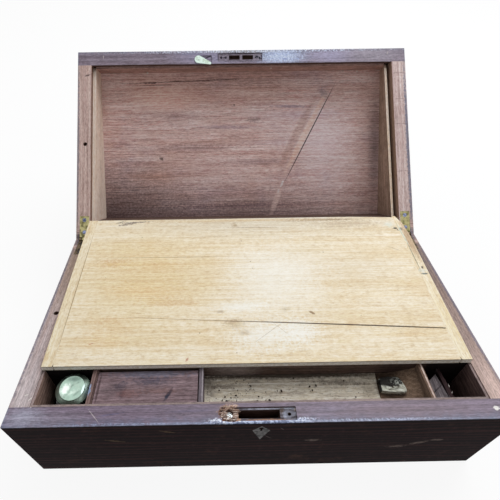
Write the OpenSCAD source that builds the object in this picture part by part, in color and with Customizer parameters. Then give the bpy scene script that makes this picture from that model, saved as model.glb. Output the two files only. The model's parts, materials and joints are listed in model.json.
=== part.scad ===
// Mahogany writing box, drawn open. A sloping base holds the paper and a well for pens and ink.
// The lid hangs on two brass hinges, and its inner flap is folded down over the base.
// Millimetres. The origin is the middle of the underside, +Z is up and -Y is the lock side.

/* [Case] */
// Width of the closed box
box_w = 440; // [400:1:480]
// Depth of the closed box, from the lock side to the hinge side
box_d = 248; // [238:1:262]
// Height of the closed box, twice the height of the hinge line so that it lies flat when open
box_h = 158; // [150:1:170]
// Climb of the sloping rim from the hinge side to the lock side
rise = 42; // [36:1:46]
// Thickness of the case boards
wall = 18; // [16:0.5:19]
// Thickness of the bottom board
bottom_t = 8; // [6:0.5:10]
// Thickness of the top board
top_t = 7.5; // [6:0.5:9]
// Round along the outer edges of the top board
top_round = 2.5; // [1:0.5:4]
// Angle that the lid stands open, where 0 is closed and 180 lies flat
lid_open = 131.3; // [112:0.1:132]

/* [Flap] */
// Thickness of the flap
flap_t = 6; // [5:0.25:6.5]
// Gap between the flap and the case at each side
flap_side_gap = 0.5; // [0.3:0.1:1.5]
// Gap between the flap's free edge and the lid's lock rail
flap_end_gap = 0.8; // [0.5:0.1:3]
// Depth of the stowed flap's face below the lid's rim
flap_depth = 1.7; // [1.6:0.1:2.5]
// Width of the cleat across each end of the flap
cleat_w = 11; // [8:0.5:16]
// Length of the tongue that holds each cleat
tongue_l = 4; // [3:0.5:6]
// Thickness of that tongue
tongue_t = 2; // [1.5:0.25:2.5]
// Depth of the chip along the back right corner
chip_t = 2.2; // [0.5:0.1:3]
// Radius of the leather bead that the flap turns on
fold_r = 1.6; // [1.2:0.1:1.7]
// Gap at each side of that bead
fold_gap = 0.3; // [0.2:0.05:0.5]
// Gap between the resting flap and the well rail
rest_gap = 0.3; // [0.2:0.1:1]

/* [Linings] */
// Thickness of the strips that line the paper space and the lid's sides
ledge_t = 4; // [3:0.5:5]
// Thickness of the strip along the lid's lock rail
lid_front_ledge_t = 3; // [2:0.5:5]
// Gap between the stowed flap and the strips under it
ledge_gap = 0.3; // [0.2:0.1:1]
// Thickness of the lid's right-hand strip, which has come loose
loose_strip_t = 3; // [2:0.1:3.5]
// How far that strip's free edge leans in over its foot
strip_lean = 3.2; // [0:0.2:5]
// Gap between that strip and the strips across the lid
strip_seat = 0.1; // [0.05:0.05:0.3]
// Round at the lock end of the lid's side strips
ledge_round = 6.5; // [3:0.5:10]
// Thickness of the strips that line the well
lining_t = 2.3; // [1.5:0.1:3]
// Depth of the well's strips and dividers below the rim
well_drop = 1; // [0.5:0.1:2]

/* [Well] */
// Thickness of the rail between the well and the paper space
rail_t = 8; // [6:0.5:12]
// How far the resting flap hangs over the front of that rail
rail_overhang = 0.6; // [0:0.1:3]
// Height of the well's floor above the underside
well_floor_top = 54; // [46:1:62]
// Thickness of the well's floor
well_floor_t = 6; // [4:0.5:8]
// Width of the inkwell's compartment at the left end
ink_space = 45.7; // [44:0.1:50]
// Thickness of the divider beside the inkwell
ink_divider_t = 5; // [3:0.5:7]
// Width of the covered compartment
cover_space = 94.4; // [70:0.2:115]
// Thickness of the divider between the cover and the pens
pen_divider_t = 4; // [3:0.5:6]
// Thickness of the divider at the far end of the pens
end_divider_t = 4; // [3:0.5:6]
// Width of the compartment at the right end
end_space = 44.1; // [38:0.1:52]

/* [Cover] */
// Thickness of the lift-out cover
cover_t = 5; // [4:0.5:7]
// Depth of the cover's top below the rim
cover_drop = 2.2; // [1.5:0.1:4]
// Gap between the cover and the divider beside the inkwell
cover_left_gap = 0.4; // [0.3:0.1:1.5]
// Gap between the cover and the divider beside the pens
cover_right_gap = 1.1; // [0.3:0.1:2]
// Gap between the cover and the front strip
cover_front_gap = 0.5; // [0.3:0.1:1.5]
// Gap between the cover and the well rail, which keeps it clear of the resting flap
cover_back_gap = 2.4; // [2:0.1:4]
// Size of the square strips that carry the cover
cover_rest = 4; // [3:0.5:6]
// Gap between the cover and those strips
cover_seat = 0.1; // [0.05:0.05:0.3]

/* [Pen tray] */
// Depth of the pen tray's floor below the rim, at the well rail
tray_depth = 18.6; // [14:0.2:26]
// Thickness of the tray's floor
tray_t = 7; // [6:0.5:9]
// Depth of the hollow along the floor
tray_hollow = 2; // [1:0.25:3]
// Length of the tray's scooped end
tray_end_l = 36; // [24:1:48]
// Radius of the scoop
scoop_r = 60; // [50:1:90]
// Depth of the scoop's foot below the tray's floor
scoop_drop = 1; // [0:0.25:2]
// Width of the bearers under the floor
bearer_w = 7; // [5:1:12]
// Gap round the tray
tray_gap = 0.3; // [0.2:0.1:0.8]

/* [Loose pieces] */
// Length of the worn scrap on the scoop
scrap_l = 24; // [18:0.5:28]
// Width of that scrap
scrap_w = 17; // [10:0.5:20]
// Thickness of that scrap
scrap_t = 5.5; // [3:0.5:7]
// How far that scrap lies behind the middle of the tray
scrap_back = 2.4; // [0:0.2:4]
// Gap under the scrap's two ends
scrap_gap = 0.3; // [0.2:0.05:0.6]
// Width of the broken slip that stands in the right-hand compartment
upright_slip_w = 17; // [12:0.5:18]
// Thickness of that slip
upright_slip_t = 2.6; // [1.5:0.1:3]
// Width of the slip that lies on it, against the divider
flat_slip_w = 15.1; // [12:0.1:16]
// Length of the slip that lies on it
flat_slip_l = 27.6; // [22:0.2:29]
// Thickness of the slip that lies on it
flat_slip_t = 2.6; // [1.5:0.1:3]
// Width of the slip that is jammed between the front and the rail
jammed_slip_w = 4.6; // [3:0.1:4.7]
// Thickness of the jammed slip
jammed_slip_t = 3.2; // [2:0.1:4]
// How far below the rim the sloping slips would meet the front lining
slip_drop = 8.4; // [6:0.2:12]
// Slope of those slips, down towards the rail
slip_slope = 14.4; // [8:0.2:20]
// Gap between the loose slips and what they touch
slip_gap = 0.3; // [0.2:0.05:0.5]

/* [Inkwell] */
// Side of the square glass
glass_side = 32.6; // [28:0.2:33]
// Chamfer along the glass's upright corners
glass_chamfer = 3; // [2:0.25:5]
// Radius of the ink chamber
chamber_r = 12; // [9:0.5:13]
// Thickness of the glass under the ink
glass_floor = 5; // [3:0.5:8]
// Height of the glass's sloping shoulder
shoulder_h = 4; // [2:0.5:6]
// Radius of the neck's bore
neck_bore_r = 8; // [6:0.5:9]
// Radius of the brass collar round the neck
collar_r = 12.6; // [11:0.1:13.5]
// Height of the collar
collar_h = 3; // [2:0.5:5]
// Radius of the brass cap
cap_r = 15.6; // [14.5:0.1:16]
// Height of the cap
cap_h = 9; // [7:0.5:12]
// Wall of the cap
cap_wall = 1.2; // [0.8:0.1:1.6]
// Depth of the cap's top below the rim
cap_drop = 4.2; // [3.8:0.1:8]
// Gap between the glass and the divider beside it
glass_gap = 0.5; // [0.3:0.1:1.5]

/* [Hinges] */
// Width of a hinge leaf
leaf_w = 12; // [9:0.5:14]
// Length of a leaf from the hinge line
leaf_l = 30; // [26:1:40]
// Thickness of a leaf
leaf_t = 1.6; // [1.2:0.1:2]
// Distance of a hinge's middle from the end of the box
hinge_inset = 10.5; // [9:0.5:11]
// Radius of the knuckles
knuckle_r = 2.7; // [2.3:0.1:3]
// Radius of the pin
pin_r = 1.1; // [0.8:0.1:1.3]
// Gap round the pin, and from knuckle to knuckle along it twice over
pin_gap = 0.05; // [0.03:0.01:0.08]
// Length of the lid's knuckle between the base's two
mid_knuckle_l = 4; // [3:0.25:5]

/* [Screws] */
// Radius of a hinge screw's head
screw_head_r = 2.5; // [2:0.1:3]
// Radius of its shank
screw_r = 1.2; // [0.9:0.1:1.4]
// Length of a hinge screw
screw_l = 11; // [8:0.5:14]
// Depth of its countersunk head
screw_head_t = 1.3; // [1:0.1:1.4]
// Width of a screw's slot
slot_w = 0.6; // [0.4:0.1:0.8]
// Distance of the near screw from the hinge line
screw_near = 9; // [7:0.5:11]
// Distance between a leaf's two screws
screw_pitch = 16; // [12:0.5:18]

/* [Lock] */
// Length of the bed for the lock's plate
lock_bed_l = 64; // [50:1:76]
// Width of that bed
lock_bed_w = 12.4; // [10:0.2:13]
// Depth of that bed
lock_bed_t = 1.5; // [1:0.1:2]
// Distance of the bed from the rim's outer edge
lock_bed_edge = 2.2; // [1.5:0.1:3]
// Length of the mortise for the lock
mortise_l = 36; // [28:1:44]
// Width of the mortise
mortise_w = 7.4; // [6:0.2:8.5]
// Depth of the mortise
mortise_depth = 34; // [26:1:44]
// How far the lock sits left of the centre line
lock_offset = 2; // [0:0.5:6]
// Length of the bed for the missing hook plate in the lid
hook_bed_l = 60; // [50:1:70]
// Width of that bed
hook_bed_w = 11.6; // [9:0.2:12.5]
// Depth of that bed
hook_bed_t = 1.2; // [0.8:0.1:2]
// Distance of that bed from the rim's outer edge
hook_bed_edge = 3.6; // [2:0.2:4.5]
// Length of each of its two slots
hook_slot_l = 14.5; // [10:0.5:16]
// Gap between those slots
hook_slot_gap = 3.5; // [2:0.5:5]
// Width of those slots
hook_slot_w = 6.2; // [4:0.2:7]
// Depth of those slots
hook_slot_depth = 8; // [5:0.5:12]
// Width of the kite-shaped keyhole plate
kite_w = 15.6; // [12:0.2:20]
// Height of the keyhole plate
kite_h = 33.5; // [26:0.5:40]
// Height of the part of the plate above its widest point
kite_top = 10; // [8:0.5:14]
// Thickness of the keyhole plate
kite_t = 1; // [0.6:0.1:1.5]
// Distance of the plate's top from the rim's outer edge
kite_edge = 7.6; // [6:0.2:12]
// Radius of the keyhole
key_r = 2; // [1.5:0.1:2.5]

/* [Turn catch] */
// Radius of the catch's round end
catch_r = 5.2; // [4:0.1:6]
// Radius of its tip
catch_tip_r = 1.7; // [1.2:0.1:2.5]
// Distance from the pivot to the tip's centre
catch_l = 16.4; // [14:0.2:20]
// Thickness of the catch
catch_t = 1; // [0.7:0.05:1.1]
// Distance of the pivot from the rim's outer edge
catch_edge = 11.6; // [10:0.1:12]
// Distance of the pivot from the centre line
catch_x = 58.3; // [50:0.1:90]
// Angle of the released catch below the rail's line
catch_angle = 20; // [10:1:22]
// Depth of the catch's bed in the rail
catch_bed_t = 1.15; // [1.1:0.05:1.5]

/* [Dowel] */
// Radius of the holes for the missing dowel in the left rims
dowel_r = 2.6; // [2:0.1:3.2]
// Depth of those holes
dowel_depth = 9; // [6:0.5:14]

/* [Hidden] */
$fn = 48;

mahogany = [0.36, 0.20, 0.16];
mahogany_rim = [0.42, 0.29, 0.26];
mahogany_dark = [0.24, 0.14, 0.12];
pale_wood = [0.83, 0.70, 0.50];
lining_wood = [0.66, 0.52, 0.40];
brass = [0.70, 0.66, 0.42];
steel = [0.66, 0.67, 0.69];
glass_tint = [0.62, 0.70, 0.68, 0.5];
leather = [0.30, 0.20, 0.14];

// Slope of the rim, and the places that follow from it
slope = atan(rise / box_d);
rim_l = box_d / cos(slope);
back_h = box_h / 2;
inner_w = box_w - 2 * wall;
front_y = -box_d / 2 + wall;
back_y = box_d / 2 - wall;
ceiling_z = box_h - top_t;
rebate = wall / 2;
eps = 0.01;
cut = 60;

// Height of the rim over y
function rim_z(y) = back_h + rise * (box_d / 2 - y) / box_d;
// Distance along the rim from the hinge line to the upright plane at y, at height h over the rim
function rim_s(y, h = 0) = (box_d / 2 - y + h * sin(slope)) / cos(slope);

// The leather bead that the flap turns on lies just inside the lid's hinge rail
fold_clear = 0.64;
fold_s = rim_s(back_y) + flap_depth + fold_clear;
flap_start = fold_r + fold_gap;
flap_l = rim_s(front_y) - flap_end_gap - fold_s - flap_start;
flap_w = inner_w - 2 * flap_side_gap;
fold_reach = norm([fold_s, flap_depth]);
fold_angle = lid_open + atan2(flap_depth, fold_s);
fold_rise = fold_reach * sin(fold_angle);
// The free edge comes down to the rail, which sets the resting flap's tilt
flap_tilt = asin((fold_rise - rest_gap) / (flap_start + flap_l));
flap_turn = lid_open + flap_tilt;
flap_front_s = fold_reach * cos(fold_angle) + (flap_start + flap_l) * cos(flap_tilt);

// The well lies between the front board and a rail under the flap's free edge
rail_y = box_d / 2 - (flap_front_s - rail_overhang) * cos(slope);
well_y = front_y + lining_t;
ledge_drop = flap_depth + flap_t + ledge_gap;
tray_top = rim_z(rail_y) - tray_depth;
ink_left = lining_t + ink_space - inner_w / 2;
ink_right = ink_left + ink_divider_t;
cover_right = ink_right + cover_space;
pen_left = cover_right + pen_divider_t;
end_right = inner_w / 2 - lining_t - end_space;
end_left = end_right - end_divider_t;
scoop_x = end_left - tray_end_l;
// Distance behind the front lining at which the sloping slips start, so that their lower edges clear it
slip_start = slip_gap + max(flat_slip_t, jammed_slip_t) * sin(slip_slope);

// The inkwell stands in the middle of the well's width, against its divider
ink_x = ink_left - glass_gap - glass_side / 2;
ink_y = (well_y + rail_y) / 2;
cap_top = rim_z(ink_y) - cap_drop;
glass_top = cap_top - cap_h;
neck_r = collar_r - 1.6;

hinge_x = box_w / 2 - hinge_inset;
leaf_drop = 0.1;
side_knuckle_l = (leaf_w - mid_knuckle_l) / 2 - 2 * pin_gap;
knuckle_gap = 0.3;
pilot_gap = 0.05;
lock_x = -lock_offset;
lock_s = rim_l - lock_bed_edge - lock_bed_w / 2;
lock_screw_x = lock_bed_l / 2 - 6;
catch_s = rim_l - catch_edge;

// Moves its children into the rim's plane: x as before, -y is the distance from the hinge line
module on_rim()
    translate([0, box_d / 2, back_h]) rotate([-slope, 0, 0]) children();

// Swings the closed lid's pieces open about the hinge line
module opened()
    translate([0, box_d / 2, back_h]) rotate([-lid_open, 0, 0])
        translate([0, -box_d / 2, -back_h]) children();

// Moves its children from the flap's own frame, with the bead as its origin, into the closed lid
module in_flap()
    opened() on_rim() translate([0, -fold_s, flap_depth]) rotate([flap_turn, 0, 0]) children();

// Upright board whose top follows the rim, drop below it
module standing(x0, x1, y0, y1, z0, drop = 0)
    translate([x0, 0, 0]) rotate([90, 0, 90]) linear_extrude(x1 - x0)
        polygon([
            [y0, z0], [y1, z0],
            [y1, rim_z(y1) - drop / cos(slope)], [y0, rim_z(y0) - drop / cos(slope)]
        ]);

// Upright lid board whose lower edge follows the rim, lift above it
module hanging(x0, x1, y0, y1, z1, lift = 0)
    translate([x0, 0, 0]) rotate([90, 0, 90]) linear_extrude(x1 - x0)
        polygon([
            [y0, rim_z(y0) + lift / cos(slope)], [y1, rim_z(y1) + lift / cos(slope)],
            [y1, z1], [y0, z1]
        ]);

// Pocket sunk into the base's rim
module rim_pocket(x, s, l, w, depth)
    on_rim() translate([x - l / 2, -s - w / 2, -depth]) cube([l, w, depth + 1]);

// Hole drilled square into the base's rim
module rim_hole(x, s, r, depth)
    on_rim() translate([x, -s, -depth]) cylinder(r = r, h = depth + 1);

// Drop-shaped outline: a large round end at the origin and a small one along +X
module drop_outline(r, tip_r, l) {
    a = acos((r - tip_r) / l);
    circle(r);
    translate([l, 0]) circle(tip_r);
    polygon([
        r * [cos(a), sin(a)], r * [cos(a), -sin(a)],
        [l, 0] + tip_r * [cos(a), -sin(a)], [l, 0] + tip_r * [cos(a), sin(a)]
    ]);
}

// Bed of one hinge leaf, with the trench for the knuckles and the screws' pilot holes
module hinge_bed() {
    bed_w = leaf_w + 0.2;
    depth = leaf_t + leaf_drop;
    translate([-bed_w / 2, -leaf_l - 0.1, -depth]) cube([bed_w, leaf_l + 0.1, depth + 1]);
    translate([-bed_w / 2 - 0.1, 0, 0]) rotate([0, 90, 0])
        cylinder(r = knuckle_r + knuckle_gap, h = bed_w + 0.2);
    for (i = [0, 1])
        translate([0, -screw_near - i * screw_pitch, -screw_l - leaf_drop - 0.5])
            cylinder(r = screw_r + pilot_gap, h = screw_l);
}

// Both beds in the base's rim
module base_hinge_beds()
    for (side = [-1, 1]) translate([side * hinge_x, 0, 0]) on_rim() hinge_bed();

// Both beds in the lid's rim, the base's mirrored in the rim's plane
module lid_hinge_beds()
    for (side = [-1, 1]) translate([side * hinge_x, 0, 0]) on_rim() mirror([0, 0, 1]) hinge_bed();

// Barrel round the pin from x0, with its bore
module knuckle(x0, l)
    translate([x0, 0, 0]) rotate([0, 90, 0]) difference() {
        cylinder(r = knuckle_r, h = l);
        translate([0, 0, -1]) cylinder(r = pin_r + pin_gap, h = l + 2);
    }

// Countersunk hole through a leaf
module leaf_screw_holes()
    for (i = [0, 1])
        translate([0, -screw_near - i * screw_pitch, -leaf_drop]) {
            translate([0, 0, -screw_head_t]) cylinder(
                r1 = screw_r + pilot_gap, r2 = screw_head_r + pilot_gap, h = screw_head_t);
            translate([0, 0, -cut / 2]) cylinder(r = screw_r + pilot_gap, h = cut / 2);
            cylinder(r = screw_head_r + pilot_gap, h = 1);
        }

// Leaf with its plate in the rim: mid is true for the lid's leaf, which has the middle knuckle
module hinge_leaf(mid) {
    clear_y = knuckle_r + knuckle_gap;
    mid_w = mid_knuckle_l + 4 * pin_gap;
    notch_w = side_knuckle_l + 2 * pin_gap;
    difference() {
        translate([-leaf_w / 2, -leaf_l, -leaf_drop - leaf_t]) cube([leaf_w, leaf_l, leaf_t]);
        leaf_screw_holes();
        rotate([0, 90, 0]) translate([0, 0, -leaf_w]) cylinder(r = pin_r + pin_gap, h = 2 * leaf_w);
        if (mid) {
            for (side = [-1, 1])
                translate([side * leaf_w / 2 - (side < 0 ? 1 : notch_w), -clear_y, -cut / 2])
                    cube([notch_w + 1, clear_y + 1, cut]);
        } else {
            translate([-mid_w / 2, -clear_y, -cut / 2]) cube([mid_w, clear_y + 1, cut]);
        }
    }
    if (mid) knuckle(-mid_knuckle_l / 2, mid_knuckle_l);
    else for (x0 = [-leaf_w / 2, leaf_w / 2 - side_knuckle_l]) knuckle(x0, side_knuckle_l);
}

// Countersunk slotted screw, its head's face at the origin
module screw(head_r, head_t, r, l, turn)
    difference() {
        union() {
            translate([0, 0, -head_t]) cylinder(r1 = r, r2 = head_r, h = head_t);
            translate([0, 0, -l]) cylinder(r = r, h = l - head_t + eps);
        }
        rotate([0, 0, turn]) translate([-head_r, -slot_w / 2, -head_t * 0.45])
            cube([2 * head_r, slot_w, head_t]);
    }

// A leaf's two screws, each turned to its own angle
module leaf_screws(turns)
    for (i = [0, 1])
        translate([0, -screw_near - i * screw_pitch, -leaf_drop - 0.02])
            screw(screw_head_r, screw_head_t, screw_r, screw_l, turns[i]);

module base_bottom()
    color(mahogany_dark)
        translate([-box_w / 2 + rebate, -box_d / 2 + rebate, 0])
            cube([box_w - 2 * rebate, box_d - 2 * rebate, bottom_t]);

// Space that the bottom board takes out of the boards' lower edges
module bottom_rebate()
    translate([-box_w / 2 + rebate, -box_d / 2 + rebate, -1])
        cube([box_w - 2 * rebate, box_d - 2 * rebate, bottom_t + 1]);

// Upright mortise for the lock's case, behind the front face
module lock_mortise() {
    mortise_y = -box_d / 2 + lock_bed_edge + (lock_bed_w - mortise_w) / 2;
    translate([lock_x - mortise_l / 2, mortise_y, rim_z(mortise_y) - mortise_depth])
        cube([mortise_l, mortise_w, mortise_depth + 10]);
}

// Torn hollow round the lock's left screw
module lock_tear() {
    tear_r = 8;
    on_rim() for (p = [[0.5, 0, 3.9], [-3.2, 1.8, 5.4], [4.2, -2.2, 5.8]])
        translate([lock_x - lock_screw_x + p[0], -lock_s + p[1], p[2]]) sphere(r = tear_r);
}

// Worn arris in front of the lock
module lock_wear() {
    wear = 1.3;
    on_rim() translate([lock_x, -rim_l, 0]) rotate([45, 0, 0])
        cube([lock_bed_l + 12, wear, wear], center = true);
}

// Kite outline of the keyhole plate, its widest point at the origin
module kite(grow = 0)
    polygon([
        [0, kite_top + grow], [kite_w / 2 + grow, 0],
        [0, kite_top - kite_h - 2 * grow], [-kite_w / 2 - grow, 0]
    ]);

// Places its children on the front face, upright, at the keyhole plate's widest point
module on_front()
    translate([0, -box_d / 2, rim_z(-box_d / 2) - kite_edge - kite_top]) rotate([90, 0, 0]) children();

// Keyhole through the plate: a round hole over a slot
module keyhole(l) {
    hole_z = kite_top - 5.4;
    slot_l = 6.5;
    translate([0, hole_z, -l]) cylinder(r = key_r, h = l + 1);
    translate([-key_r * 0.45, hole_z - slot_l, -l]) cube([key_r * 0.9, slot_l, l + 1]);
}

module base_front()
    color(mahogany)
        difference() {
            standing(-box_w / 2, box_w / 2, -box_d / 2, front_y, 0);
            bottom_rebate();
            rim_pocket(lock_x, lock_s, lock_bed_l, lock_bed_w, lock_bed_t);
            lock_mortise();
            rim_hole(lock_x + lock_screw_x, lock_s, 1.5, 10);
            rim_hole(lock_x - lock_screw_x, lock_s, screw_r + pilot_gap, 12);
            lock_tear();
            lock_wear();
            on_front() {
                translate([0, 0, -kite_t - pilot_gap]) linear_extrude(kite_t + 1) kite(pilot_gap);
                keyhole(lock_bed_edge + lock_bed_w / 2);
            }
        }

module base_back()
    color(mahogany)
        difference() {
            standing(-box_w / 2, box_w / 2, back_y, box_d / 2, 0);
            bottom_rebate();
            base_hinge_beds();
        }

// Side board of the base, between the front and back boards
module base_side(side)
    color(mahogany)
        difference() {
            standing(
                side < 0 ? -box_w / 2 : inner_w / 2, side < 0 ? -inner_w / 2 : box_w / 2,
                front_y, back_y, 0);
            bottom_rebate();
            base_hinge_beds();
            if (side < 0) rim_hole(-hinge_x, rim_l / 2, dowel_r, dowel_depth);
        }

module base_side_left() base_side(-1);
module base_side_right() base_side(1);

// Strip that lines one side of the paper space
module base_ledge(side)
    color(lining_wood)
        standing(
            side < 0 ? -inner_w / 2 : inner_w / 2 - ledge_t,
            side < 0 ? ledge_t - inner_w / 2 : inner_w / 2,
            rail_y + rail_t, back_y, bottom_t, ledge_drop);

module base_ledge_left() base_ledge(-1);
module base_ledge_right() base_ledge(1);

module base_ledge_back()
    color(lining_wood)
        standing(
            ledge_t - inner_w / 2, inner_w / 2 - ledge_t,
            back_y - ledge_t, back_y, bottom_t, ledge_drop);

module well_floor()
    color(mahogany_dark)
        translate([-inner_w / 2, front_y, well_floor_top - well_floor_t])
            cube([inner_w, rail_y + rail_t - front_y, well_floor_t]);

module well_rail()
    color(lining_wood)
        standing(-inner_w / 2, inner_w / 2, rail_y, rail_y + rail_t, well_floor_top);

// Strip that lines one end of the well
module well_lining(side)
    color(mahogany_rim)
        standing(
            side < 0 ? -inner_w / 2 : inner_w / 2 - lining_t,
            side < 0 ? lining_t - inner_w / 2 : inner_w / 2,
            front_y, rail_y, well_floor_top, well_drop);

module well_lining_left() well_lining(-1);
module well_lining_right() well_lining(1);

module well_lining_front()
    color(mahogany_rim)
        standing(
            lining_t - inner_w / 2, inner_w / 2 - lining_t,
            front_y, well_y, well_floor_top, well_drop);

// Divider across the well
module divider(x0, x1)
    color(mahogany_rim) standing(x0, x1, well_y, rail_y, well_floor_top, well_drop);

module ink_divider() divider(ink_left, ink_right);
module pen_divider() divider(cover_right, pen_left);
module end_divider() divider(end_left, end_right);

// Strips glued to the dividers, which carry the cover
module cover_rests() {
    top_drop = cover_drop + cover_t + cover_seat;
    color(mahogany_dark)
        for (x = [ink_right, cover_right - cover_rest])
            difference() {
                standing(x, x + cover_rest, well_y, rail_y, well_floor_top, top_drop);
                standing(x - 1, x + cover_rest + 1, well_y - 1, rail_y + 1, 0, top_drop + cover_rest);
            }
}

module well_cover()
    color(mahogany)
        difference() {
            standing(
                ink_right + cover_left_gap, cover_right - cover_right_gap,
                well_y + cover_front_gap, rail_y - cover_back_gap, well_floor_top, cover_drop);
            standing(-box_w, box_w, -box_d, box_d, -1, cover_drop + cover_t);
        }

module tray_floor()
    color(pale_wood)
        difference() {
            translate([pen_left + tray_gap, well_y + tray_gap, tray_top - tray_t])
                cube([scoop_x - pen_left - 2 * tray_gap, rail_y - well_y - 2 * tray_gap, tray_t]);
            tray_hollow_cut();
        }

// Shallow hollow along the floor of the tray
module tray_hollow_cut() {
    border = 3;
    end_border = 6;
    half = (rail_y - well_y) / 2 - border;
    r = (half * half + tray_hollow * tray_hollow) / (2 * tray_hollow);
    translate([pen_left + end_border, ink_y, tray_top + r - tray_hollow]) rotate([0, 90, 0])
        cylinder(r = r, h = scoop_x - pen_left, $fn = 96);
}

module tray_bearers()
    color(mahogany_dark)
        for (x = [pen_left + tray_gap, scoop_x - bearer_w - tray_gap])
            translate([x, well_y + tray_gap, well_floor_top])
                cube([bearer_w, rail_y - well_y - 2 * tray_gap, tray_top - tray_t - well_floor_top]);

// Block at the end of the tray, scooped so that a pen slides up under the finger
module tray_scoop()
    color(mahogany)
        difference() {
            translate([scoop_x, well_y + tray_gap, well_floor_top])
                cube([
                    tray_end_l - tray_gap, rail_y - well_y - 2 * tray_gap,
                    scoop_z(tray_end_l) + 2 - well_floor_top
                ]);
            translate([scoop_x, 0, scoop_z(0) + scoop_r]) rotate([90, 0, 0])
                cylinder(r = scoop_r, h = 2 * box_d, center = true, $fn = 128);
        }

// Height of the scoop's surface at a distance from the tray's floor
function scoop_z(dx) = tray_top - scoop_drop + scoop_r - sqrt(scoop_r * scoop_r - dx * dx);

// Worn scrap that lies across the scoop on its two ends
module tray_scrap() {
    half = scrap_l / 2;
    outline = [
        [-half, -0.8], [-0.33 * half, -1], [0.75 * half, -0.94], [half, -0.6],
        [0.96 * half, 0.35], [0.6 * half, 0.94], [-0.5 * half, 1], [-half, 0.7]
    ];
    middle = scoop_x + half + scrap_gap;
    foot = [middle - half - scoop_x, middle + half - scoop_x];
    lean = atan((scoop_z(foot[1]) - scoop_z(foot[0])) / (foot[1] - foot[0]));
    color(lining_wood)
        translate([middle, ink_y + scrap_back, (scoop_z(foot[0]) + scoop_z(foot[1])) / 2 + scrap_gap])
            rotate([0, -lean, 0]) hull() {
                linear_extrude(0.45 * scrap_t) scale_outline(outline, 1);
                linear_extrude(scrap_t) scale_outline(outline, 0.8);
            }
}

// Scrap's outline, its points' y taken as shares of half its width, drawn k times its size
module scale_outline(outline, k)
    polygon([for (p = outline) [k * p[0], k * p[1] * scrap_w / 2]]);

// Broken slips of thin board in the right-hand compartment: one stands, one lies on it against the
// divider, and a narrow one is jammed between the front lining and the rail
module broken_slips()
    color(mahogany_dark) {
        upright_slip();
        sloping() flat_slip();
        sloping() translate([flat_slip_w + 2 * slip_gap, 0, 0]) jammed_slip();
    }

// Places what lies in the compartment, sloping down from its front to its rail: the origin is the
// upper face's front corner at the divider, x runs to the right and y back along the slope
module sloping()
    translate([end_right + slip_gap, well_y + slip_start, slip_top(slip_start)])
        rotate([-slip_slope, 0, 0]) children();

// Height of the sloping slips' upper face at a distance behind the front lining
function slip_top(dy) = rim_z(well_y) - slip_drop - dy * tan(slip_slope);

// Slip that stands on the well's floor, its highest point just under the slip that lies on it
module upright_slip() {
    lean = 10;
    w = upright_slip_w;
    peak = 0.4 * w;
    front = 0.14 * (rail_y - well_y);
    foot = upright_slip_t * sin(lean) + 0.1;
    under = slip_top(front + peak) - flat_slip_t / cos(slip_slope) - slip_gap;
    h = (under - well_floor_top - foot) / cos(lean);
    translate([end_right + 0.1 * end_space, well_y + front, well_floor_top + foot]) rotate([0, lean, 0])
        rotate([90, 0, 90]) linear_extrude(upright_slip_t)
            polygon([
                [0, 0], [w, 0], [w, 0.8 * h], [0.8 * w, 0.88 * h], [0.62 * w, 0.84 * h],
                [peak, h], [0.2 * w, 0.9 * h], [0, 0.84 * h]
            ]);
}

// Slip that lies against the divider, broken off aslant at its back
module flat_slip() {
    w = flat_slip_w;
    l = flat_slip_l;
    translate([0, 0, -flat_slip_t]) linear_extrude(flat_slip_t)
        polygon([[0, 0], [w, 0], [0.95 * w, 0.6 * l], [0.9 * w, l], [0.27 * w, 0.72 * l], [0, 0.6 * l]]);
}

// Narrow slip that reaches from the front lining to the rail, with a jagged right edge
module jammed_slip() {
    w = jammed_slip_w;
    l = (rail_y - well_y - slip_gap - slip_start) / cos(slip_slope);
    translate([0, 0, -jammed_slip_t]) linear_extrude(jammed_slip_t)
        polygon([
            [0, 0], [w, 0], [w, 0.1 * l], [0.84 * w, 0.16 * l], [w, 0.3 * l], [0.8 * w, 0.36 * l],
            [w, 0.62 * l], [0.86 * w, 0.68 * l], [0.92 * w, l], [0.3 * w, l]
        ]);
}

module keyhole_plate()
    color(brass)
        on_front() difference() {
            translate([0, 0, -kite_t]) linear_extrude(kite_t) kite();
            keyhole(kite_t + 1);
        }

module lock_screw()
    color(steel)
        on_rim() translate([lock_x - lock_screw_x, -lock_s, -2.6]) screw(3, 1.4, screw_r, 9, 20);

// Hinge leaf let into the base's rim
module base_hinge(side)
    color(brass) translate([side * hinge_x, 0, 0]) on_rim() hinge_leaf(false);

module base_hinge_left() base_hinge(-1);
module base_hinge_right() base_hinge(1);

module base_hinge_screws()
    color(steel)
        for (side = [-1, 1]) translate([side * hinge_x, 0, 0]) on_rim() leaf_screws([30 * side, 70]);

module hinge_pins()
    color(steel)
        for (side = [-1, 1])
            translate([side * hinge_x - leaf_w / 2, box_d / 2, back_h]) rotate([0, 90, 0])
                cylinder(r = pin_r, h = leaf_w);

// Square glass with a round chamber, a sloping shoulder and a short neck
module inkwell_glass()
    color(glass_tint)
        translate([ink_x, ink_y, 0]) difference() {
            union() {
                intersection() {
                    translate([-glass_side / 2, -glass_side / 2, well_floor_top])
                        cube([glass_side, glass_side, glass_top - shoulder_h - well_floor_top]);
                    rotate([0, 0, 45]) translate([0, 0, well_floor_top]) glass_corner_block();
                }
                translate([0, 0, glass_top - shoulder_h])
                    cylinder(r1 = glass_side / 2, r2 = collar_r + 0.4, h = shoulder_h);
                translate([0, 0, glass_top - eps]) cylinder(r = neck_r, h = collar_h + 1.5);
            }
            translate([0, 0, well_floor_top + glass_floor])
                cylinder(r = chamber_r, h = glass_top - shoulder_h - well_floor_top - glass_floor);
            translate([0, 0, glass_top - shoulder_h - 1]) cylinder(r = neck_bore_r, h = cut);
        }

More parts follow.
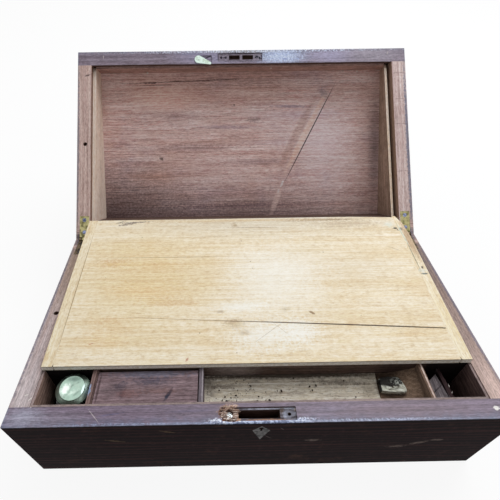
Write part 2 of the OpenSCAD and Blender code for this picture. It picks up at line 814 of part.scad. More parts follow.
// Turned square that takes the glass's upright corners off
module glass_corner_block() {
    w = (glass_side - glass_chamfer) * sqrt(2);
    translate([-w / 2, -w / 2, 0]) cube([w, w, glass_top]);
}

module inkwell_collar()
    color(brass)
        translate([ink_x, ink_y, glass_top]) difference() {
            cylinder(r = collar_r, h = collar_h);
            translate([0, 0, -1]) cylinder(r = neck_r + pin_gap, h = collar_h + 2);
        }

// Turned brass cap: a flat crown inside a bevel, over a hollow that clears the collar
module inkwell_cap() {
    lip = 0.4;
    bevel = 3.2;
    color(brass)
        translate([ink_x, ink_y, glass_top + lip]) rotate_extrude($fn = 96)
            polygon([
                [collar_r + 0.4, 0], [cap_r - 0.5, 0], [cap_r, 0.5], [cap_r, cap_h - lip - bevel],
                [cap_r - bevel * 1.15, cap_h - lip - 0.5], [cap_r - bevel * 1.15 - 0.5, cap_h - lip],
                [0, cap_h - lip], [0, cap_h - lip - cap_wall], [collar_r - 0.9, cap_h - lip - cap_wall],
                [collar_r + 0.4, cap_h - lip - cap_wall - 1.3]
            ]);
}

// Board with its upper edges rounded, drawn as the overlap of two rounded sections
module rounded_board(w, d, t, r)
    intersection() {
        translate([0, d / 2, 0]) rotate([90, 0, 0]) linear_extrude(d) rounded_section(w, t, r);
        translate([-w / 2, 0, 0]) rotate([90, 0, 90]) linear_extrude(w) rounded_section(d, t, r);
    }

module rounded_section(w, t, r) {
    translate([-w / 2, 0]) square([w, t - r]);
    translate([r - w / 2, 0]) square([w - 2 * r, t]);
    for (side = [-1, 1]) translate([side * (w / 2 - r), t - r]) circle(r);
}

module lid_top()
    color(mahogany) opened() translate([0, 0, ceiling_z]) rounded_board(box_w, box_d, top_t, top_round);

// Bed of the hook plate, with its two slots and four screw holes
module hook_plate_bed()
    on_rim() translate([lock_x - 0.5, hook_bed_edge + hook_bed_w / 2 - rim_l, -1]) {
        translate([-hook_bed_l / 2, -hook_bed_w / 2, 0])
            cube([hook_bed_l, hook_bed_w, hook_bed_t + 1]);
        for (side = [-1, 1]) {
            translate([
                side * (hook_slot_l + hook_slot_gap) / 2 + 1.5 - hook_slot_l / 2,
                -hook_slot_w / 2, 0
            ]) cube([hook_slot_l, hook_slot_w, hook_slot_depth + 1]);
            for (inset = [4, 8.8])
                translate([side * (hook_bed_l / 2 - inset), 0, 0]) cylinder(r = 0.9, h = hook_slot_depth);
        }
    }

// Bed that the catch turns in: the sweep of its drop shape, and a round for a fingernail
module catch_bed() {
    gap = 0.35;
    nail_r = 8.4;
    nail_l = 0.6 * catch_l;
    sweep_r = catch_l + catch_tip_r + gap;
    on_rim() translate([-catch_x, -catch_s, -1]) linear_extrude(catch_bed_t + 1) {
        circle(catch_r + gap);
        rotate(catch_angle) translate([nail_l, 0.4]) circle(nail_r);
        intersection() {
            circle(sweep_r);
            polygon([
                [0, -catch_r], [2 * sweep_r, -catch_r], [2 * sweep_r, 2 * sweep_r],
                [-catch_r - gap, 2 * sweep_r], [-catch_r - gap, 0]
            ]);
        }
    }
}

module lid_front()
    color(mahogany_rim) opened()
        difference() {
            hanging(-box_w / 2, box_w / 2, -box_d / 2, front_y, ceiling_z);
            hook_plate_bed();
            catch_bed();
            on_rim() translate([-catch_x, -catch_s, -1]) cylinder(r = screw_r + pilot_gap, h = 10);
        }

module lid_back()
    color(mahogany) opened()
        difference() {
            hanging(-box_w / 2, box_w / 2, back_y, box_d / 2, ceiling_z);
            lid_hinge_beds();
        }

// Side board of the lid, between its lock rail and its hinge board
module lid_side(side)
    color(mahogany_rim) opened()
        difference() {
            hanging(
                side < 0 ? -box_w / 2 : inner_w / 2, side < 0 ? -inner_w / 2 : box_w / 2,
                front_y, back_y, ceiling_z);
            lid_hinge_beds();
            if (side < 0)
                on_rim() translate([-hinge_x, -rim_l / 2, -1])
                    cylinder(r = dowel_r, h = dowel_depth + 1);
        }

module lid_side_left() lid_side(-1);
module lid_side_right() lid_side(1);

// Rounds the lock end off a strip along one side of the lid
module round_lock_end()
    difference() {
        children();
        translate([0, front_y, rim_z(front_y) + ledge_drop / cos(slope)])
            rotate([90, 0, 90]) linear_extrude(box_w + 2, center = true) difference() {
                translate([-1, -2]) square([ledge_round + 1, ledge_round + 2]);
                translate([ledge_round, ledge_round]) circle(ledge_round);
                translate([ledge_round, -3]) square([2, 3]);
            }
    }

module lid_ledge_left()
    color(lining_wood) opened() round_lock_end()
        hanging(-inner_w / 2, ledge_t - inner_w / 2, front_y, back_y, ceiling_z, ledge_drop);

// The right-hand strip is glued to the ceiling, but its free edge has come away from the side board
module lid_ledge_right()
    color(lining_wood) opened() round_lock_end() leaning(0, loose_strip_t, 0);

// Point [x, z] of the loose strip's inner face at y, at the ceiling where k is 0 and at its free edge
// where k is 1
function loose_face(y, k) =
    let (free_z = rim_z(y) + ledge_drop / cos(slope))
    [inner_w / 2 - ledge_t - k * strip_lean, ceiling_z + k * (free_z - ceiling_z)];

// Body along the loose strip, from x0 to x1 past its inner face and over past its edges and ends
module leaning(x0, x1, over) {
    skin = 0.01;
    hull() for (y = [front_y - over, back_y + over - skin])
        translate([0, y + skin, 0]) rotate([90, 0, 0]) linear_extrude(skin)
            polygon([
                for (corner = [[-over, x0], [1 + over, x0], [1 + over, x1], [-over, x1]])
                    loose_face(y, corner[0]) + [corner[1], 0]
            ]);
}

// Strip across the lid between the two side strips, clear of the loose one
module between_strips(y0, y1)
    difference() {
        hanging(ledge_t - inner_w / 2, inner_w / 2 - ledge_t, y0, y1, ceiling_z, ledge_drop);
        leaning(-strip_seat, ledge_t + strip_lean, 0.1);
    }

module lid_ledge_front()
    color(mahogany) opened() between_strips(front_y, front_y + lid_front_ledge_t);

module lid_ledge_back()
    color(lining_wood) opened() between_strips(back_y - ledge_t, back_y);

// Hinge leaf let into the lid's rim
module lid_hinge(side)
    color(brass) opened()
        translate([side * hinge_x, 0, 0]) on_rim() mirror([0, 0, 1]) hinge_leaf(true);

module lid_hinge_left() lid_hinge(-1);
module lid_hinge_right() lid_hinge(1);

module lid_hinge_screws()
    color(steel) opened()
        for (side = [-1, 1])
            translate([side * hinge_x, 0, 0]) on_rim() mirror([0, 0, 1]) leaf_screws([50, 10 * side]);

// Drop-shaped brass catch, which turns over the flap's free edge to hold it in the lid
module turn_catch() {
    face = 0.05;
    color(brass) opened() on_rim() translate([-catch_x, -catch_s, face])
        difference() {
            rotate([0, 0, catch_angle]) linear_extrude(catch_t) drop_outline(catch_r, catch_tip_r, catch_l);
            translate([0, 0, -1]) cylinder(r = screw_r + pilot_gap, h = 3);
            cylinder(r1 = 2 + pilot_gap, r2 = screw_r + pilot_gap, h = catch_t * 0.8);
        }
}

module catch_screw()
    color(steel) opened() on_rim() translate([-catch_x, -catch_s, 0.05]) mirror([0, 0, 1])
        screw(2, 0.8, screw_r, 8, 40);

module flap_fold()
    color(leather)
        in_flap() translate([-flap_w / 2, 0, 0]) rotate([0, 90, 0]) cylinder(r = fold_r, h = flap_w);

// Split in the flap's board, from left of its middle to the right-hand cleat
module flap_split() {
    start_x = -flap_w / 4;
    end_x = flap_w / 2 - cleat_w + tongue_l;
    start_b = flap_l / 4;
    end_b = flap_l / 6;
    split_w = 1.4;
    bend = [0.4, 0.41];
    bend_b = start_b + bend[0] * (end_b - start_b);
    translate([0, -flap_start - flap_l, -1]) linear_extrude(flap_t + 2)
        polygon([
            [start_x, start_b], [start_x + bend[0] * (end_x - start_x), bend_b],
            [end_x, end_b - split_w / 2], [end_x, end_b + split_w / 2],
            [start_x + bend[1] * (end_x - start_x), bend_b + 0.3 * split_w]
        ]);
}

// Board of the flap, tongued into a cleat at each end; its back right corner is chipped
module flap_board() {
    half = flap_w / 2 - cleat_w;
    chip_l = flap_w / 7;
    color(pale_wood) in_flap() difference() {
        union() {
            translate([-half, -flap_start - flap_l, 0]) cube([2 * half, flap_l, flap_t]);
            translate([-half - tongue_l, -flap_start - flap_l + tongue_l, (flap_t - tongue_t) / 2])
                cube([2 * (half + tongue_l), flap_l - 2 * tongue_l, tongue_t]);
        }
        flap_split();
        translate([half + tongue_l, -flap_start, -1]) linear_extrude(flap_t + 2)
            polygon([[-chip_l, 1], [-chip_l, 0], [-tongue_l - 2, -chip_t], [1, -chip_t], [1, 1]]);
    }
}

// Cleat across one end of the flap, grooved for the board's tongue
module flap_cleat(side) {
    inner = flap_w / 2 - cleat_w;
    groove_gap = 0.1;
    color(pale_wood) in_flap() mirror([side < 0 ? 1 : 0, 0, 0]) difference() {
        translate([inner, -flap_start - flap_l, 0]) cube([cleat_w, flap_l, flap_t]);
        translate([
            inner - 1, tongue_l - flap_start - flap_l - groove_gap,
            (flap_t - tongue_t) / 2 - groove_gap
        ]) cube([
            tongue_l + 1 + groove_gap, flap_l - 2 * (tongue_l - groove_gap),
            tongue_t + 2 * groove_gap
        ]);
        translate([inner, -flap_start - flap_l, -1]) linear_extrude(flap_t + 2)
            polygon([[-1, -1], [1.6, -1], [0, 3.2], [-1, 3.2]]);
        if (side > 0)
            translate([flap_w / 2, -flap_start, -1]) linear_extrude(flap_t + 2)
                polygon([
                    [0.1, -flap_l * 0.18], [-cleat_w * 0.18, -flap_l * 0.067], [-cleat_w * 0.64, 0.1],
                    [1, 1], [1, -flap_l * 0.18]
                ]);
    }
}

module flap_cleat_left() flap_cleat(-1);
module flap_cleat_right() flap_cleat(1);

base_bottom();
base_front();
base_back();
base_side_left();
base_side_right();
base_ledge_left();
base_ledge_right();
base_ledge_back();
well_floor();
well_rail();
well_lining_left();
well_lining_right();
well_lining_front();
ink_divider();
pen_divider();
end_divider();
cover_rests();
tray_floor();
tray_bearers();
tray_scoop();
tray_scrap();
broken_slips();
keyhole_plate();
lock_screw();
base_hinge_left();
base_hinge_right();
base_hinge_screws();
hinge_pins();
well_cover();
inkwell_glass();
inkwell_collar();
inkwell_cap();
lid_top();
lid_front();
lid_back();
lid_side_left();
lid_side_right();
lid_ledge_left();
lid_ledge_right();
lid_ledge_front();
lid_ledge_back();
lid_hinge_left();
lid_hinge_right();
lid_hinge_screws();
turn_catch();
catch_screw();
flap_fold();
flap_board();
flap_cleat_left();
flap_cleat_right();
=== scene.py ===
# %% [markdown]
# # An old mahogany writing box, open on a table
#
# The box is a sloping case that opens into two parts. The base holds paper, with a well for
# ink and pens along its lock side. The lid leans back on two brass hinges, and its pale inner
# flap has dropped down over the base. The shapes come from the solids that are loaded below.
# What this script adds is the finish: old polish, worn edges, ink, dust and tarnish, and the
# small torn and splintered pieces that a solid model leaves out.
#
# Lengths are in metres, as Blender has them. The finishes think in millimetres.

# %% Load the box
import json
import math
import random

import bmesh
import bpy
from mathutils import Matrix, Vector, noise


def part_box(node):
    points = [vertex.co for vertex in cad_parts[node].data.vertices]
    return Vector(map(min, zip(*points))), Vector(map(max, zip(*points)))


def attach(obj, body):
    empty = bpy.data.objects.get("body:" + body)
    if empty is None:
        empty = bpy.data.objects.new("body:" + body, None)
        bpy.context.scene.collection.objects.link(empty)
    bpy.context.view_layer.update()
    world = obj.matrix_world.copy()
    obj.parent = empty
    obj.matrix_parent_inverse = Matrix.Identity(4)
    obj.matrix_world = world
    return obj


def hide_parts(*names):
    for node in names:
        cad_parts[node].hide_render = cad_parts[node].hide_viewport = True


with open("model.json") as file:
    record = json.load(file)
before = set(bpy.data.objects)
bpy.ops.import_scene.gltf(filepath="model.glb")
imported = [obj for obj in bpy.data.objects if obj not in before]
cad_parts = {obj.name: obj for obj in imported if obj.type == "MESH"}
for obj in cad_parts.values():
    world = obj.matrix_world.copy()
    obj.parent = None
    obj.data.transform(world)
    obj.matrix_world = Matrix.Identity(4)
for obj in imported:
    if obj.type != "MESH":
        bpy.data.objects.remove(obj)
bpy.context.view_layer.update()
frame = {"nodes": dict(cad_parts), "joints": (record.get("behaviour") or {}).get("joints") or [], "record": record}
nodes = frame["nodes"]

MM = 0.001

# %% [markdown]
# ## Where the boards lie
#
# The rim slopes, the lid leans back and the flap lies at an angle of its own, so a grain that
# ran along the scene's axes would cross every board askew. Each group of boards gets a frame:
# a point that it turns about, and a tilt about the box's width. In that frame x runs along the
# width, y runs back along the rim and z stands on the rim's plane. The angles are worked out
# from the solids, so that they follow the model.

# %% Measure the hinge line, the slope and the opening
front_low, front_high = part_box("base_front")
pin_low, pin_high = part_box("hinge_pins")
fold_low, fold_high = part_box("flap_fold")

HALF_WIDTH = front_high.x
HINGE = Vector((0, (pin_low.y + pin_high.y) / 2, (pin_low.z + pin_high.z) / 2))
FOLD = Vector((0, (fold_low.y + fold_high.y) / 2, (fold_low.z + fold_high.z) / 2))
FRONT_Y = front_low.y
RIM_RISE = front_high.z - HINGE.z
SLOPE = math.atan2(RIM_RISE, HINGE.y - FRONT_Y)
RIM_LENGTH = math.hypot(RIM_RISE, HINGE.y - FRONT_Y) / MM
lid_close = next(joint for joint in frame["joints"] if joint["name"] == "lid_close")
OPENING = math.radians(-lid_close["range_deg"][0])
coupling = frame["record"]["behaviour"]["couplings"][0]
FLAP_TILT = SLOPE + OPENING + coupling["ratio"] * OPENING
print("slope", math.degrees(SLOPE), "opening", math.degrees(OPENING), "flap", math.degrees(FLAP_TILT))

# %% [markdown]
# ## Helpers for node trees
#
# A material is a graph, and a graph is easier to read when each node is made by one short
# call. `add` makes a node and sets its inputs: a value is set on the socket, and another
# node's output is linked to it. Colours are written as the eye reads them on a screen, in
# 0 to 255, and turned into the linear values that the renderer works in.

# %% Colours and nodes
def screen_colour(red, green, blue):
    """A colour as it reads on a screen, turned into linear light."""
    def linear(value):
        value /= 255
        return value / 12.92 if value <= 0.04045 else ((value + 0.055) / 1.055) ** 2.4
    return (linear(red), linear(green), linear(blue), 1)


def feed(tree, socket, value):
    """Links another node's output to a socket, or sets a number, a vector or a screen colour."""
    if isinstance(value, bpy.types.NodeSocket):
        tree.links.new(value, socket)
    elif socket.type == "RGBA" and len(value) == 3:
        socket.default_value = screen_colour(*value)
    else:
        socket.default_value = value


def add(tree, kind, settings=None, **inputs):
    """One node. Inputs are named by their socket, with _ for a space, or by number as i0, i1."""
    node = tree.nodes.new(kind)
    for name, value in (settings or {}).items():
        setattr(node, name, value)
    for name, value in inputs.items():
        key = int(name[1:]) if name[0] == "i" and name[1:].isdigit() else name.replace("_", " ")
        feed(tree, node.inputs[key], value)
    return node


print("128 on a screen is", round(screen_colour(128, 128, 128)[0], 3), "in linear light")

# %% [markdown]
# ## Helpers for masks and mixes
#
# Most of a finish is masks, numbers from 0 to 1 that say where a tone goes. They could be
# painted by hand as pictures. Here they are sums of noise and distances, which stay sharp at
# any size and need no unwrapping. `ramp` turns a measure into a mask, and `tint` mixes by it.

# %% Masks and mixes
def maths(tree, operation, first, second=0.0, clamp=False):
    """One sum of two values."""
    settings = {"operation": operation, "use_clamp": clamp}
    return add(tree, "ShaderNodeMath", settings, i0=first, i1=second).outputs[0]


def times(tree, first, second):
    """The product of two masks, or of a mask and its share."""
    return maths(tree, "MULTIPLY", first, second)


def ramp(tree, value, low, high):
    """0 below low, 1 above high and a smooth step between. Low may be the larger."""
    settings = {"interpolation_type": "SMOOTHSTEP"}
    node = add(tree, "ShaderNodeMapRange", settings, Value=value, From_Min=low, From_Max=high)
    return node.outputs["Result"]


def tint(tree, factor, first, second, blend="MIX"):
    """Two colours mixed by a mask."""
    node = tree.nodes.new("ShaderNodeMix")
    node.data_type = "RGBA"
    node.blend_type = blend
    node.clamp_factor = True
    for key, value in (("Factor", factor), (6, first), (7, second)):
        feed(tree, node.inputs[key], value)
    return node.outputs[2]


print("made", [helper.__name__ for helper in (maths, times, ramp, tint)])

# %% [markdown]
# ## Helpers for groups
#
# Grain, clouds and marks are needed on nearly every board. Copying their nodes into each
# material would make fifty large graphs. A group is drawn once and placed wherever it is
# needed, and its sockets are the values that differ from place to place.

# %% Groups
def new_group(name, inputs, outputs):
    """An empty shader group with named sockets. Inputs are (name, kind, value)."""
    tree = bpy.data.node_groups.new(name, "ShaderNodeTree")
    for label, kind, value in inputs:
        socket = tree.interface.new_socket(label, in_out="INPUT", socket_type=kind)
        if value is not None:
            socket.default_value = value
    for label, kind in outputs:
        tree.interface.new_socket(label, in_out="OUTPUT", socket_type=kind)
    source = tree.nodes.new("NodeGroupInput")
    result = tree.nodes.new("NodeGroupOutput")
    return tree, source.outputs, result.inputs


def use(tree, group, **inputs):
    """Places a group in a tree and returns its outputs."""
    node = tree.nodes.new("ShaderNodeGroup")
    node.node_tree = group
    for name, value in inputs.items():
        feed(tree, node.inputs[name.replace("_", " ")], value)
    return node.outputs


def describe(group):
    """Prints what a group takes and gives, and how many nodes it holds."""
    print(group.name, "group,", len(group.nodes), "nodes", [item.name for item in group.interface.items_tree])


VECTOR, NUMBER = "NodeSocketVector", "NodeSocketFloat"
print("made", [helper.__name__ for helper in (new_group, use, describe)])

# %% [markdown]
# ## Board coordinates
#
# The first group turns a point on the object into millimetres in a board's frame. Everything
# after it, from grain to ink stains, is placed in those millimetres, as it would be measured
# with a rule laid on the real board. It reads object coordinates, so the marks stay on the
# wood when the lid swings.

# %% Board frame group
board_frame, given, gives = new_group(
    "board frame",
    [("Vector", VECTOR, None), ("Origin", VECTOR, (0, 0, 0)), ("Tilt", NUMBER, 0.0)],
    [("Place", VECTOR), ("Across", NUMBER), ("Along", NUMBER), ("Height", NUMBER)])
moved = add(board_frame, "ShaderNodeVectorMath", {"operation": "SUBTRACT"},
            i0=given["Vector"], i1=given["Origin"])
turned = add(board_frame, "ShaderNodeVectorRotate", {"rotation_type": "X_AXIS"},
             Vector=moved.outputs[0], Angle=given["Tilt"])
scaled = add(board_frame, "ShaderNodeVectorMath", {"operation": "SCALE"}, i0=turned.outputs[0], Scale=1000.0)
parts = add(board_frame, "ShaderNodeSeparateXYZ", i0=scaled.outputs[0])
board_frame.links.new(scaled.outputs[0], gives["Place"])
board_frame.links.new(parts.outputs[0], gives["Across"])
board_frame.links.new(parts.outputs[1], gives["Along"])
board_frame.links.new(parts.outputs[2], gives["Height"])
describe(board_frame)

# %% [markdown]
# ## Grain
#
# Wood shows at three scales. Broad figure, where the saw crossed the rings at a shallow angle,
# gives bands that wander along the board. Fibre gives fine streaks. Pores are short dark
# dashes that lie with the fibre, and mahogany is full of them. Pictures of wood would repeat
# and be cut off at each edge. Noise that is stretched along the grain does neither, and this
# helper gives it a length and a width in millimetres.

# %% Stretched noise
def stretched_noise(tree, vector, length, width, detail=3.0, roughness=0.55):
    """Noise whose features are about length by width millimetres."""
    squeezed = add(tree, "ShaderNodeVectorMath", {"operation": "MULTIPLY"},
                   i0=vector, i1=(1 / length, 1 / width, 1 / width))
    node = add(tree, "ShaderNodeTexNoise", i0=squeezed.outputs[0], Scale=1.0, Detail=detail,
               Roughness=roughness)
    return node.outputs["Fac"]


print("made", stretched_noise.__name__)

# %% [markdown]
# ## Grain: place and figure
#
# `Turn` lays the grain along the width or back along the side boards, and `Seed` moves it far
# off, so that no two boards match. The rings are flat layers through the wood, and a slow noise
# bends them, which is how a flat-sawn board gets its long figure.

# %% Grain group: place and figure
grain, given, gives = new_group(
    "wood grain",
    [("Place", VECTOR, None), ("Turn", NUMBER, 0.0), ("Seed", NUMBER, 0.0), ("Ring gap", NUMBER, 9.0),
     ("Ring depth", NUMBER, 0.16), ("Wander", NUMBER, 1.0), ("Pore size", NUMBER, 1.0)],
    [("Figure", NUMBER), ("Fibre", NUMBER), ("Pores", NUMBER), ("Mottle", NUMBER), ("Streaks", NUMBER),
     ("Grit", NUMBER), ("Relief", NUMBER)])
lay = add(grain, "ShaderNodeVectorRotate", {"rotation_type": "Z_AXIS"},
          Vector=given["Place"], Angle=given["Turn"])
shift = add(grain, "ShaderNodeCombineXYZ", X=times(grain, given["Seed"], 37.0),
            Y=times(grain, given["Seed"], 91.0), Z=times(grain, given["Seed"], 23.0))
place = add(grain, "ShaderNodeVectorMath", {"operation": "ADD"},
            i0=lay.outputs[0], i1=shift.outputs[0]).outputs[0]
axes = add(grain, "ShaderNodeSeparateXYZ", i0=place)
wander = maths(grain, "SUBTRACT", stretched_noise(grain, place, 260, 40, 2.0), 0.5)
wander = times(grain, wander, times(grain, given["Wander"], 24.0))
rings = maths(grain, "ADD", maths(grain, "ADD", axes.outputs[1], axes.outputs[2]), wander)
rings = maths(grain, "DIVIDE", rings, given["Ring gap"])
rings = maths(grain, "SINE", times(grain, rings, math.tau))
broad = stretched_noise(grain, place, 260, 12, 4.0, 0.6)
figure = maths(grain, "ADD", times(grain, rings, given["Ring depth"]), broad, clamp=True)
print("nodes for place and figure", len(grain.nodes))

# %% [markdown]
# ## Grain: fibre, pores and grit
#
# The fine scales are streaks of several lengths. Grit is the small unevenness of wood that has
# been handled for a century and a half, and it is laid over everything else. Relief is what
# the bump reads. Modelling pores as dents would take millions of faces, and a bump that lets
# fibres stand up and pores sink in costs none.

# %% Grain group: fibre, pores and grit
fibre = stretched_noise(grain, place, 42, 1.1, 5.0, 0.7)
pore_place = add(grain, "ShaderNodeVectorMath", {"operation": "SCALE"}, i0=place,
                 Scale=maths(grain, "DIVIDE", 1.0, given["Pore size"])).outputs[0]
pores = ramp(grain, stretched_noise(grain, pore_place, 7, 0.7, 1.0), 0.60, 0.72)
mottle = stretched_noise(grain, place, 4.5, 1.2, 4.0, 0.8)
streaks = ramp(grain, stretched_noise(grain, place, 64, 0.8, 4.0, 0.7), 0.56, 0.68)
dabs = times(grain, stretched_noise(grain, place, 6.0, 1.0, 3.0, 0.75), 0.55)
strokes = times(grain, stretched_noise(grain, place, 76, 1.7, 4.0, 0.7), 0.45)
grit = ramp(grain, maths(grain, "ADD", dabs, strokes), 0.38, 0.62)
relief = maths(grain, "SUBTRACT", times(grain, fibre, 0.6), times(grain, pores, 0.7))
for label, value in (("Figure", figure), ("Fibre", fibre), ("Pores", pores), ("Mottle", mottle),
                     ("Streaks", streaks), ("Grit", grit), ("Relief", relief)):
    grain.links.new(value, gives[label])
describe(grain)

# %% [markdown]
# ## Blotches and specks
#
# Age doesn't come evenly. `blotches` is soft cloudy noise for faded and dirty areas. `specks`
# scatters small round spots, for dust and fly marks. Noise cut at a level would give ragged
# islands there, so the spots sit in cells instead, and each cell has a chance to hold one.

# %% Blotch and speck groups
blotches, given, gives = new_group(
    "blotches",
    [("Place", VECTOR, None), ("Size", NUMBER, 40.0), ("Seed", NUMBER, 0.0), ("Low", NUMBER, 0.42),
     ("High", NUMBER, 0.66)],
    [("Mask", NUMBER)])
apart = add(blotches, "ShaderNodeCombineXYZ", X=times(blotches, given["Seed"], 131.0))
moved = add(blotches, "ShaderNodeVectorMath", {"operation": "ADD"}, i0=given["Place"], i1=apart.outputs[0])
haze = add(blotches, "ShaderNodeTexNoise", i0=moved.outputs[0],
           Scale=maths(blotches, "DIVIDE", 1.0, given["Size"]), Detail=5.0, Roughness=0.62)
blotches.links.new(ramp(blotches, haze.outputs["Fac"], given["Low"], given["High"]), gives["Mask"])
describe(blotches)

specks, given, gives = new_group(
    "specks",
    [("Place", VECTOR, None), ("Gap", NUMBER, 8.0), ("Size", NUMBER, 0.12), ("Share", NUMBER, 0.5)],
    [("Mask", NUMBER)])
cells = add(specks, "ShaderNodeTexVoronoi", {"feature": "F1"}, Vector=given["Place"],
            Scale=maths(specks, "DIVIDE", 1.0, given["Gap"]))
lots = add(specks, "ShaderNodeSeparateColor", i0=cells.outputs["Color"])
size = times(specks, given["Size"], maths(specks, "ADD", lots.outputs[1], 0.35))
dot = maths(specks, "LESS_THAN", cells.outputs["Distance"], size)
kept = maths(specks, "LESS_THAN", lots.outputs[0], given["Share"])
specks.links.new(times(specks, dot, kept), gives["Mask"])
describe(specks)

# %% [markdown]
# ## Single marks
#
# `mark` is one soft-edged spot or streak at a chosen place, such as a scratch, a stain or a
# chip. Its centre, two radii and an angle are given in the board's millimetres, and a little
# noise frays its edge so that it doesn't look stamped.

# %% Mark group
mark, given, gives = new_group(
    "mark",
    [("Place", VECTOR, None), ("Centre", VECTOR, (0, 0, 0)), ("Radii", VECTOR, (10, 10, 1000)),
     ("Angle", NUMBER, 0.0), ("Soft", NUMBER, 0.5), ("Fray", NUMBER, 0.3)],
    [("Mask", NUMBER)])
moved = add(mark, "ShaderNodeVectorMath", {"operation": "SUBTRACT"}, i0=given["Place"], i1=given["Centre"])
turned = add(mark, "ShaderNodeVectorRotate", {"rotation_type": "Z_AXIS"},
             Vector=moved.outputs[0], Angle=given["Angle"])
squeezed = add(mark, "ShaderNodeVectorMath", {"operation": "DIVIDE"}, i0=turned.outputs[0], i1=given["Radii"])
reach = add(mark, "ShaderNodeVectorMath", {"operation": "LENGTH"}, i0=squeezed.outputs[0]).outputs["Value"]
fray = add(mark, "ShaderNodeTexNoise", i0=given["Place"], Scale=0.35, Detail=4.0, Roughness=0.7)
fray = maths(mark, "SUBTRACT", fray.outputs["Fac"], 0.5)
reach = maths(mark, "ADD", reach, times(mark, fray, times(mark, given["Fray"], 2.4)))
inner = maths(mark, "SUBTRACT", 1.0, given["Soft"])
mark.links.new(ramp(mark, reach, 1.0, inner), gives["Mask"])
describe(mark)

# %% [markdown]
# ## Laying them on a colour
#
# A board's history is a list of such marks, one line each, laid in order like paint. Painting
# them into a picture would fix their sharpness. As a list they can be read, measured against
# the real board and moved. Torn wood needs a crisper edge, so `lay_flakes` cuts noise hard.

# %% Clouds, marks and flakes
def cloud(tree, place, size, seed, low=0.42, high=0.66):
    """A mask of soft clouds of about that size in millimetres."""
    return use(tree, blotches, Place=place, Size=size, Seed=seed, Low=low, High=high)["Mask"]


def stain(tree, place, colour, tone, share, size, seed, low=0.42, high=0.66):
    """Lays a tone on a colour in soft clouds."""
    return tint(tree, times(tree, cloud(tree, place, size, seed, low, high), share), colour, tone)


def lay_marks(tree, place, colour, marks, limit=1.0):
    """Lays marks on a colour: centre, radii, angle in degrees, colour, strength, softness, fraying.

    limit is a mask that they all stay inside.
    """
    for centre, radii, angle, paint, strength, soft, ragged in marks:
        mask = use(tree, mark, Place=place, Centre=(*centre, 0), Radii=(*radii, 1000),
                   Angle=math.radians(-angle), Soft=soft, Fray=ragged)["Mask"]
        mask = times(tree, times(tree, mask, limit), strength)
        colour = tint(tree, mask, colour, paint)
    return colour


def shifted(marks, across, along):
    """The same marks, with their places counted from another point of the board."""
    return [((spot[0] + across, spot[1] + along), *rest) for spot, *rest in marks]


def lay_flakes(tree, place, colour, centre, radii, paint, size, seed, limit=1.0):
    """Crisp torn islands inside a region, where the surface was levered off."""
    area = use(tree, mark, Place=place, Centre=(*centre, 0), Radii=(*radii, 1000), Soft=0.7, Fray=0.4)["Mask"]
    islands = cloud(tree, place, size, seed, 0.49, 0.54)
    mask = times(tree, times(tree, area, islands), limit)
    return tint(tree, mask, colour, paint)


print("made", [helper.__name__ for helper in (cloud, stain, lay_marks, shifted, lay_flakes)])

# %% [markdown]
# ## A wooden board's material
#
# Every board starts the same way: find the point in the board's frame, lay the grain there and
# mix three tones by it, dark where the pores are. What differs from piece to piece is laid on
# top by its own function.

# %% Start a board
def start_wood(name, origin, tilt, tones, turn=0.0, seed=0.0, ring_gap=9.0, wander=1.0, pore_size=1.0,
               pore_depth=0.6, fibre_depth=0.5, ring_depth=0.16, mottle=0.45, streak=0.25):
    """A board's tree, its coordinates and its colour, mixed from a dark, a middle and a light tone."""
    material = bpy.data.materials.new(name)
    material.use_nodes = True
    tree = material.node_tree
    tree.nodes.clear()
    point = add(tree, "ShaderNodeTexCoord").outputs["Object"]
    where = use(tree, board_frame, Vector=point, Origin=origin, Tilt=tilt)
    wood = use(tree, grain, Place=where["Place"], Turn=turn, Seed=seed, Ring_gap=ring_gap,
               Ring_depth=ring_depth, Wander=wander, Pore_size=pore_size)
    dark, middle, light = tones
    colour = tint(tree, ramp(tree, wood["Figure"], 0.25, 0.75), middle, light)
    streaks = times(tree, ramp(tree, wood["Fibre"], 0.62, 0.28), fibre_depth)
    colour = tint(tree, streaks, colour, dark)
    colour = tint(tree, times(tree, wood["Pores"], pore_depth), colour, dark)
    colour = tint(tree, times(tree, ramp(tree, wood["Mottle"], 0.52, 0.72), mottle), colour, light)
    colour = tint(tree, times(tree, ramp(tree, wood["Mottle"], 0.48, 0.28), mottle), colour, dark)
    colour = tint(tree, times(tree, wood["Streaks"], streak), colour, dark)
    return material, tree, point, where, wood, colour


print("made", start_wood.__name__)

# %% [markdown]
# ## The shader, and putting it on a board
#
# Sheen needs care. Bare wood scatters nearly all the light that it returns, so the shader's own
# specular level is kept low, and old polish is a clear coat over it whose weight is a mask. A
# second shader for the polish could be mixed in, but the coat lets one rim shine where the
# front face below it stays dull, with one shader for both.

# %% Finish a board
COAT_ROUGH = 0.35


def finish_wood(material, tree, colour, wood, rough=0.6, coat=0.0, depth=0.00012, specular=0.06, worn=0.34):
    """The shader and output. coat is a mask of polish, depth the relief and worn the share of grit."""
    colour = tint(tree, worn, colour, wood["Grit"], "OVERLAY")
    bump = add(tree, "ShaderNodeBump", Strength=0.55, Distance=depth, Height=wood["Relief"])
    shader = add(tree, "ShaderNodeBsdfPrincipled", Base_Color=colour, Normal=bump.outputs[0],
                 Roughness=rough, Specular_IOR_Level=specular, Coat_Roughness=COAT_ROUGH, Coat_Weight=coat)
    add(tree, "ShaderNodeOutputMaterial", Surface=shader.outputs[0])
    return material


def dress(names, material):
    """Gives CAD nodes their material."""
    for name in names.split():
        slots = nodes[name].data.materials
        slots.clear()
        slots.append(material)
    print(material.name, "on", names, "with", len(material.node_tree.nodes), "nodes")

